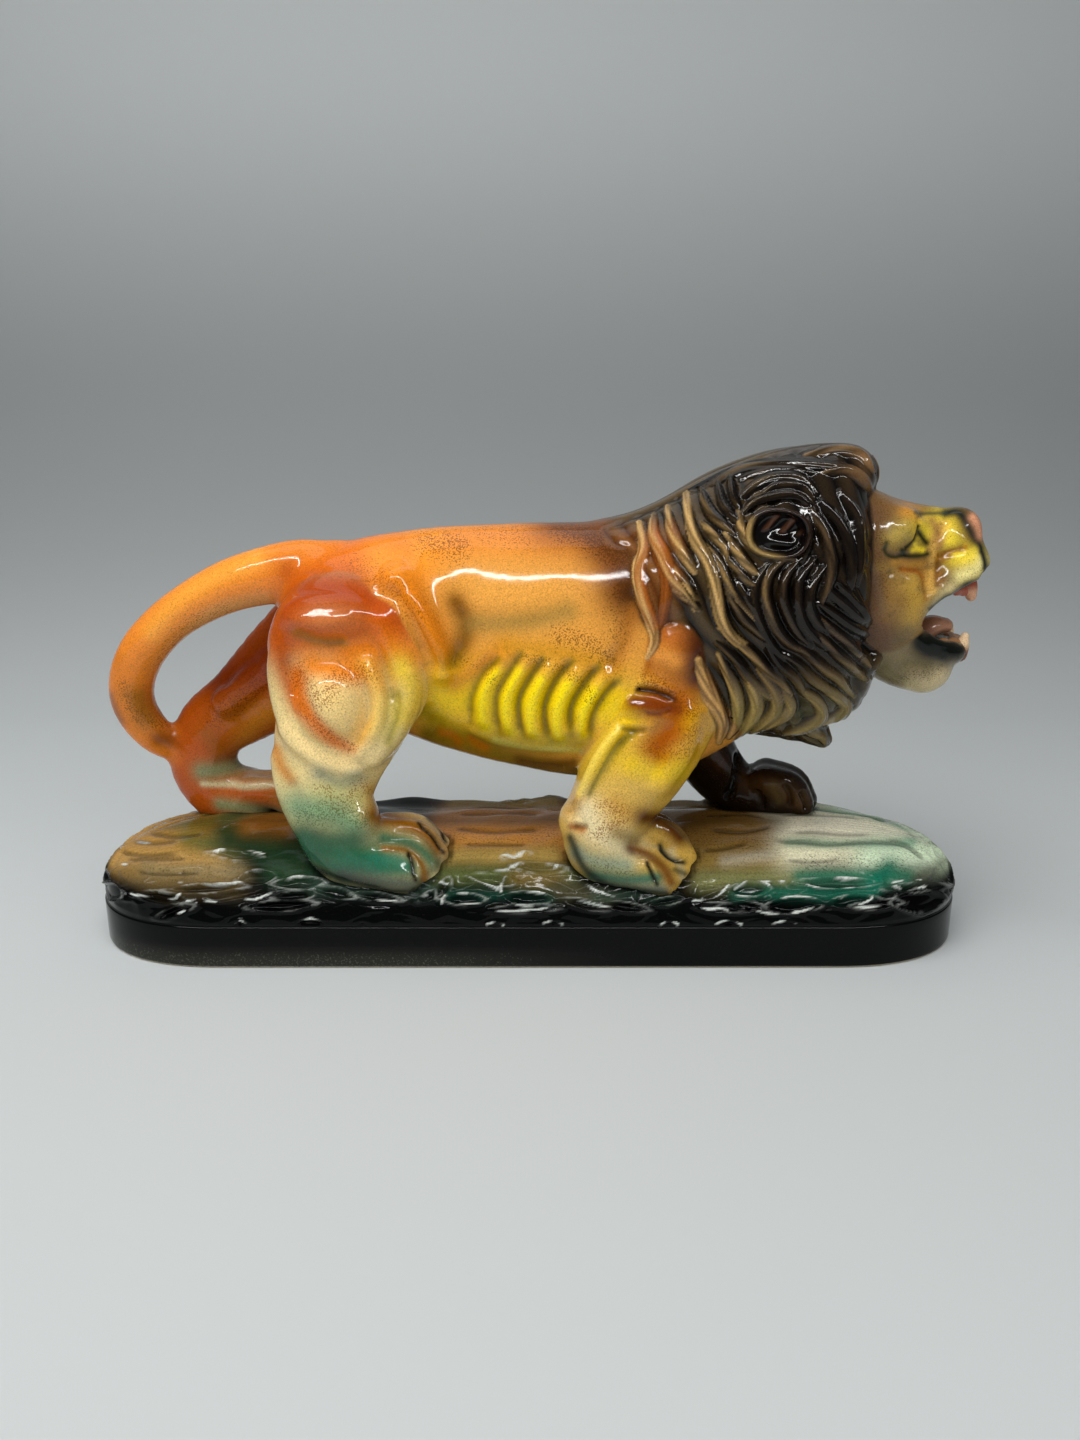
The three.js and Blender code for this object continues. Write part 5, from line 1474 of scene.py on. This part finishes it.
PLINTH_MIST = [
    ("#2a2010", 0.14), ("#1a1712", 0.35, 6, 162, 42, 178, 56), ("#2a2416", 0.22, 7, -165, 36, -120, 38),
    ("#2a1c0a", 0.3, 8, -35, 52, 10, 52), ("#30240f", 0.3, 8, 66, 52, 100, 50),
    ("#1b3a2c", 0.4, 6, 120, 40, 160, 40),
]


def columns_round(count):
    """Where each column stands, as (shift, cos, sin) of its place on the outline.

    x is shift + cos (end - inset), and y is sin (depth - inset).
    Columns start at the right-hand tip, run round by the back and are evenly spaced along the
    outline: each end is half the superellipse |x/a|^n + |y/b|^n = 1, and straight sides join them.
    """
    straight = PLINTH_HALF_LENGTH - PLINTH_END
    angle = np.linspace(0, math.pi / 2, 400)
    cos, sin = np.cos(angle) ** (2 / PLAN_SQUARENESS), np.sin(angle) ** (2 / PLAN_SQUARENESS)
    across = np.linspace(straight, 0, 200)[1:]
    quarter = np.concatenate([
        np.stack([np.full(400, straight), cos, sin], axis=1),
        np.stack([across, np.zeros(199), np.ones(199)], axis=1)])
    back = np.concatenate([quarter, quarter[-2::-1] * [-1, -1, 1]])
    ring = np.concatenate([back, back[-2::-1] * [1, 1, -1]])
    x, y = ring[:, 0] + ring[:, 1] * PLINTH_END, ring[:, 2] * PLINTH_HALF_DEPTH
    length = np.concatenate([[0], np.cumsum(np.hypot(np.diff(x), np.diff(y)))])
    wanted = np.arange(count) / count * length[-1]
    return np.stack([np.interp(wanted, length, ring[:, i]) for i in range(3)], axis=1)


def rows_up():
    """Insets of the rows over the log, spaced evenly along its arch, closer on the chips than on top."""
    turn = np.linspace(math.pi / 2, 0, 900)
    inset = (1 - np.sin(turn) ** (2 / ARCH_SQUARENESS)) * PLINTH_HALF_DEPTH
    rise = np.cos(turn) * (PLINTH_CROWN - BAND)
    length = np.concatenate([[0], np.cumsum(np.hypot(np.diff(inset), np.diff(rise)))])
    steps = np.concatenate([np.arange(FIRST_ROW, CHIP_RISE, CHIP_STEP),
                            np.arange(CHIP_RISE, length[-1], TOP_STEP)])
    return np.append(np.interp(steps, length, inset), PLINTH_HALF_DEPTH), np.append(steps, length[-1])


def ring(inset, height):
    """One row round the shell, drawn in by inset, at a height that is a function of x and y."""
    x = post[:, 0] + post[:, 1] * (PLINTH_END - inset)
    y = post[:, 2] * (PLINTH_HALF_DEPTH - inset)
    return np.stack([x, y, height(x, y)], axis=1)


def hollow_top(x, y):
    """Height of the hollow's roof: one wall below the log's top, and never below the band's shoulder."""
    return np.maximum(log_top(x, y) - PLINTH_WALL, HOLLOW_LOW)


post = columns_round(COLUMNS)
insets, climb = rows_up()
band_rows = [(PLINTH_WALL, HOLLOW_LOW), (PLINTH_WALL, 1.2), (PLINTH_WALL - 0.8, 0), (FOOT_ROUND, 0),
             (0.35, 0.35), (0, FOOT_ROUND)]
band_rows += [(0, z) for z in np.arange(3, BAND - BEAD, 1.9)]
band_rows += [(0, BAND - BEAD), (0.25, BAND - 0.25), (BEAD, BAND)]
rings = [ring(inset, hollow_top) for inset in HOLLOW_INSETS]
rings += [ring(inset, lambda x, y: np.full(len(x), z)) for inset, z in band_rows]
climb = np.concatenate([np.zeros(len(rings)), climb]).repeat(COLUMNS)
rings += [ring(inset, log_top) for inset in insets]
log = np.concatenate(rings)
weld = np.arange(len(log)).reshape(len(rings), COLUMNS)
for last in (0, -1):
    weld[last, COLUMNS // 2 + 1:] = weld[last, 1:COLUMNS // 2][::-1]
log_quads = weld.ravel()[tube_quads(len(rings), COLUMNS)]


def chipped(u, v):
    """Relief and hollowness of the drawn lenses: a scoop inside each, and a raised rim round it."""
    scoop, rim = np.zeros(len(u)), np.zeros(len(u))
    for x, z, half_long, half_high, tilt in LENSES:
        at = np.flatnonzero((np.abs(u - x) < half_long + 5) & (np.abs(v - z) < half_long + 5))
        turn = math.radians(tilt)
        across = (u[at] - x) * math.cos(turn) + (v[at] - z) * math.sin(turn)
        up = (v[at] - z) * math.cos(turn) - (u[at] - x) * math.sin(turn)
        reach = (np.abs(across / half_long) ** 1.6 + np.abs(up / half_high) ** 1.6) ** (1 / 1.6)
        beyond = (reach - 1) * half_high
        scoop[at] = np.maximum(scoop[at], smooth(0.2, -1.2, beyond))
        rim[at] = np.maximum(rim[at], bell((beyond - 0.5) / 0.7))
    return rim, scoop


def scattered(a, b, round_a, seed):
    """Distances to the two nearest of a scatter of points, one in each unit cell of (a, b).

    The scatter repeats after round_a cells.
    """
    rng = np.random.default_rng(seed)
    table = rng.random((round_a, 64, 2))
    cell_a, cell_b = np.floor(a).astype(int), np.floor(b).astype(int)
    near, next_near = np.full(len(a), 9.0), np.full(len(a), 9.0)
    for i in (-1, 0, 1):
        for j in (-1, 0, 1):
            spot = table[(cell_a + i) % round_a, (cell_b + j) % 64]
            d = np.hypot(cell_a + i + spot[:, 0] - a, cell_b + j + spot[:, 1] - b)
            next_near = np.minimum(next_near, np.maximum(near, d))
            near = np.minimum(near, d)
    return near, next_near


# The chips are cut first: the drawn ones, and between them a scatter of others round the log's side.
log_u, log_v = drawn(log)
log_x, log_y, log_z = log.T
above = climb > 0
girth = np.tile(np.arange(COLUMNS) / COLUMNS * CHIPS_ROUND, len(rings))
near, next_near = scattered(girth, climb / 6.3 + 0.35 * np.sin(girth * 2 * math.pi / 3), CHIPS_ROUND, 5)
edge = next_near - near
bark = smooth(0.5, 2.5, climb) * smooth(CHIP_RISE + 3, 15, climb)
rim, scoop = (part * above for part in chipped(log_u, log_v))
drawn_here = smooth(0, 0.3, rim + scoop)
wild = 0.7 * bell(edge / 0.1) - 0.8 * smooth(0.1, 0.5, edge)
wild = wild * (0.3 + 0.7 * smooth(18, 23, log_v))
chips = above * (bark * (1 - drawn_here) * wild + 1.0 * rim - SCOOP_DEPTH * scoop)
glint = np.zeros(len(log))
for path in GLINTS:
    line = line_of(path)
    at = near_line(log_u, log_v, line, 3)
    d, share = along(log_u[at], log_v[at], line)
    broken = smooth(0, 0.12, share) * smooth(1, 0.88, share) * (0.6 + 0.4 * np.sin(share * 9 + line[0][0]))
    glint[at] = np.maximum(glint[at], broken * bell(d / GLINT_HALF) * above[at])
ridged = carved(log_u, log_v, RIDGES)
chips = chips + above * (ridged + 0.7 * glint)

# Then the low ledge along the back edge, and the worn, straight-grained top.
ledge = 1 + 0.25 * np.sin(log_x / 13) + 0.15 * np.sin(log_x / 5.3)
ledge = bell((log_y - LEDGE_BACK) / 6) * ledge
chips = chips + LEDGE_RISE * ledge * smooth(PLINTH_HALF_LENGTH - 20, PLINTH_HALF_LENGTH - 70, np.abs(log_x))
grain = np.sin(log_y * 1.15 + 1.6 * np.sin(log_x / 24) + 0.8 * np.sin(log_x / 7.1))
worn = smooth(12, 24, climb)
lumpy = np.sin(log_x / 13 + log_y / 9)
lumpy = lumpy + np.sin(log_x / 5.7 - log_y / 4.1 + 2 * np.sin(log_x / 19))
chips = chips + worn * (0.12 * np.abs(grain) + 0.25 * lumpy)
shaped = log + normals_of(log, log_quads) * (chips * smooth(0.6, 2, climb))[:, None]
limit = np.array([PLINTH_HALF_LENGTH, PLINTH_HALF_DEPTH, PLINTH_HEADROOM])
shaped = np.clip(shaped, limit * [-1, -1, 0], limit)

# The coats follow: black from the foot up, darker scoops, painted shade in the cracks, painted pale
# highlights along the rims and glint lines, a dusty band, a bare foot, and painted shadow where the paws
# stand.
log_coat = sprayed(log_u, log_v, PLINTH_COAT)
black = smooth(13, 7, climb + 1.5 * np.sin(log_u / 9) + 1.2 * np.sin(log_u / 4.3))
log_coat = toward(log_coat, FOOT_BLACK, black)
log_coat = log_coat * (1 - 0.75 * smooth(0.2, 0.9, scoop * smooth(36, 26, log_v)))[:, None]
# Painted highlights: broken pale lines along the raised rims, and pale lines along the glints.
painted_rim_highlight = 0.25 * smooth(0.7, 1, rim) * smooth(12, 24, log_v)
painted_rim_highlight = painted_rim_highlight * np.clip(0.3 + np.sin(log_u / 3.1 + log_v / 1.7), 0, 1)
log_coat = toward(log_coat, HIGHLIGHT_PALE, np.maximum(painted_rim_highlight, smooth(0.35, 0.8, glint)))
# Painted shade in the carved grooves and cracks.
log_coat = log_coat * (1 - 0.5 * smooth(0.15, 0.8, -ridged))[:, None]
streak = smooth(0.55, 1, np.abs(grain)) * worn
log_coat = log_coat * (1 - 0.12 * streak - 0.1 * worn * smooth(0, 1.6, lumpy))[:, None]
log_mist, log_density = misted(log_u, log_v, PLINTH_MIST)
dust = smooth(12, 3, log_z) * ~above * smooth(60, -60, log_x)
log_coat = toward(log_coat, DUST_GREY, 0.8 * dust)
log_mist = np.where((0.4 * dust > log_density)[:, None], linear(DUST_MIST), log_mist)
log_density = np.maximum(log_density, 0.4 * dust)
log_coat = toward(log_coat, BARE_CLAY, smooth(1.1, 0.6, log_z) * ~above)
# Painted shadow: the log's coat darkens where the lion's clay comes near it, round the paws.
cell = np.clip(((shaped - GRID_LOW) / PITCH).round().astype(int), 0, np.array(clay.shape) - 1)
paw_shadow_gap = np.where((shaped[:, 2] > GRID_LOW[2]), clay[tuple(cell.T)], 9)
log_coat = log_coat * (0.25 + 0.75 * smooth(0.3, 3.2, paw_shadow_gap))[:, None]

used, corners = np.unique(log_quads, return_inverse=True)
mesh = new_mesh("plinth", shaped[used], corners.ravel(), np.full(len(log_quads), 4))
mesh.normals_split_custom_set_from_vertices(normals_of(shaped, log_quads)[used])
painted(mesh, log_coat[used], log_mist[used], log_density[used])
GLAZES["plinth_glaze"] = glaze("plinth_glaze", 1300, gleam=0.13)
piece = dipped("log_casting", mesh, "plinth_glaze")
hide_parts("plinth")

# The studio
# A pale grey sheet swept up behind the lion. Broad soft lamps stand where the glaze
# doesn't mirror them, and one lamp tube runs as a thin white line over it.
SHEET_PALE = 0.6
SHEET_FAR = 0.31
SHEET_RISE = 0.2
SHEET_TINT = (0.95, 1.0, 1.0)
SWEEP_FROM = 0.35
SWEEP_RADIUS = 0.45
SHEET_HALF = 2.2
SHEET_NEAR = -2.0
SHEET_TOP = 2.4
AIM_HEIGHT = 0.1
ROOM_GREY = (0.10, 0.10, 0.102, 1)
scene = bpy.context.scene
scene.view_settings.view_transform = "Standard"
world = bpy.data.worlds.new("room")
scene.world = world
world.use_nodes = True
world.node_tree.nodes["Background"].inputs["Color"].default_value = ROOM_GREY

bend = np.linspace(0, math.pi / 2, 17)
profile = [(SHEET_NEAR, 0.0)]
profile += [(SWEEP_FROM + SWEEP_RADIUS * math.sin(t), SWEEP_RADIUS * (1 - math.cos(t))) for t in bend]
profile += [(SWEEP_FROM + SWEEP_RADIUS, SHEET_TOP)]
rail = [(x, y, z) for y, z in profile for x in (-SHEET_HALF, SHEET_HALF)]
sheet_mesh = bpy.data.meshes.new("sheet")
sheet_mesh.from_pydata(rail, [], [(2 * i, 2 * i + 1, 2 * i + 3, 2 * i + 2) for i in range(len(profile) - 1)])
sheet_mesh.shade_smooth()
sheet_piece = bpy.data.objects.new("sheet", sheet_mesh)
scene.collection.objects.link(sheet_piece)

# The paper's grey is painted darker towards the back and lighter again as it rises: painted shade and light.
paper = bpy.data.materials.new("paper")
paper.use_nodes = True
tree = paper.node_tree
place = wired(tree, "ShaderNodeTexCoord").outputs["Object"]
split = wired(tree, "ShaderNodeSeparateXYZ", {0: place})
depth = wired(tree, "ShaderNodeMapRange", {"Value": split.outputs["Y"], "From Min": 0.3,
                                           "From Max": SWEEP_FROM + SWEEP_RADIUS, "To Min": SHEET_PALE,
                                           "To Max": SHEET_FAR}, interpolation_type="SMOOTHSTEP")
rise = wired(tree, "ShaderNodeMapRange", {"Value": split.outputs["Z"], "From Min": 0.24, "From Max": 0.62,
                                          "To Max": SHEET_RISE}, interpolation_type="SMOOTHSTEP")
both = wired(tree, "ShaderNodeMath", {0: depth.outputs["Result"], 1: rise.outputs["Result"]})
cool = wired(tree, "ShaderNodeVectorMath", {0: SHEET_TINT, "Scale": both.outputs[0]}, operation="SCALE")
shader = tree.nodes["Principled BSDF"]
tree.links.new(cool.outputs[0], shader.inputs["Base Color"])
shader.inputs["Roughness"].default_value = 0.7
shader.inputs["Specular IOR Level"].default_value = 0.2
sheet_mesh.materials.append(paper)


def soft_lamp(name, size, watts, place, lit=True, mirrored=False):
    """A rectangular lamp that faces the middle of the lion, and lights it, shows in its glaze, or both."""
    lamp = bpy.data.lights.new(name, "AREA")
    lamp.shape = "RECTANGLE"
    lamp.size, lamp.size_y = size
    lamp.energy = watts
    stand = bpy.data.objects.new(name, lamp)
    stand.location = place
    x, y, z = -place[0], -place[1], AIM_HEIGHT - place[2]
    stand.rotation_euler = (math.atan2(math.hypot(x, y), -z), 0, math.atan2(-x, y))
    stand.visible_diffuse = lit
    stand.visible_glossy = mirrored
    stand.visible_camera = False
    scene.collection.objects.link(stand)


soft_lamp("overhead", (1.2, 0.9), 13, (-0.25, -0.4, 1.15))
soft_lamp("front_left", (0.8, 0.8), 4.4, (-0.7, -0.95, 0.6))
soft_lamp("front_right", (0.8, 0.8), 3.0, (0.8, -0.9, 0.7))
soft_lamp("tube", (1.3, 0.032), 7.0, (0.0, -0.42, 0.68), lit=False, mirrored=True)
soft_lamp("ceiling", (1.2, 0.6), 2.2, (-0.1, 0.25, 1.1), lit=False, mirrored=True)
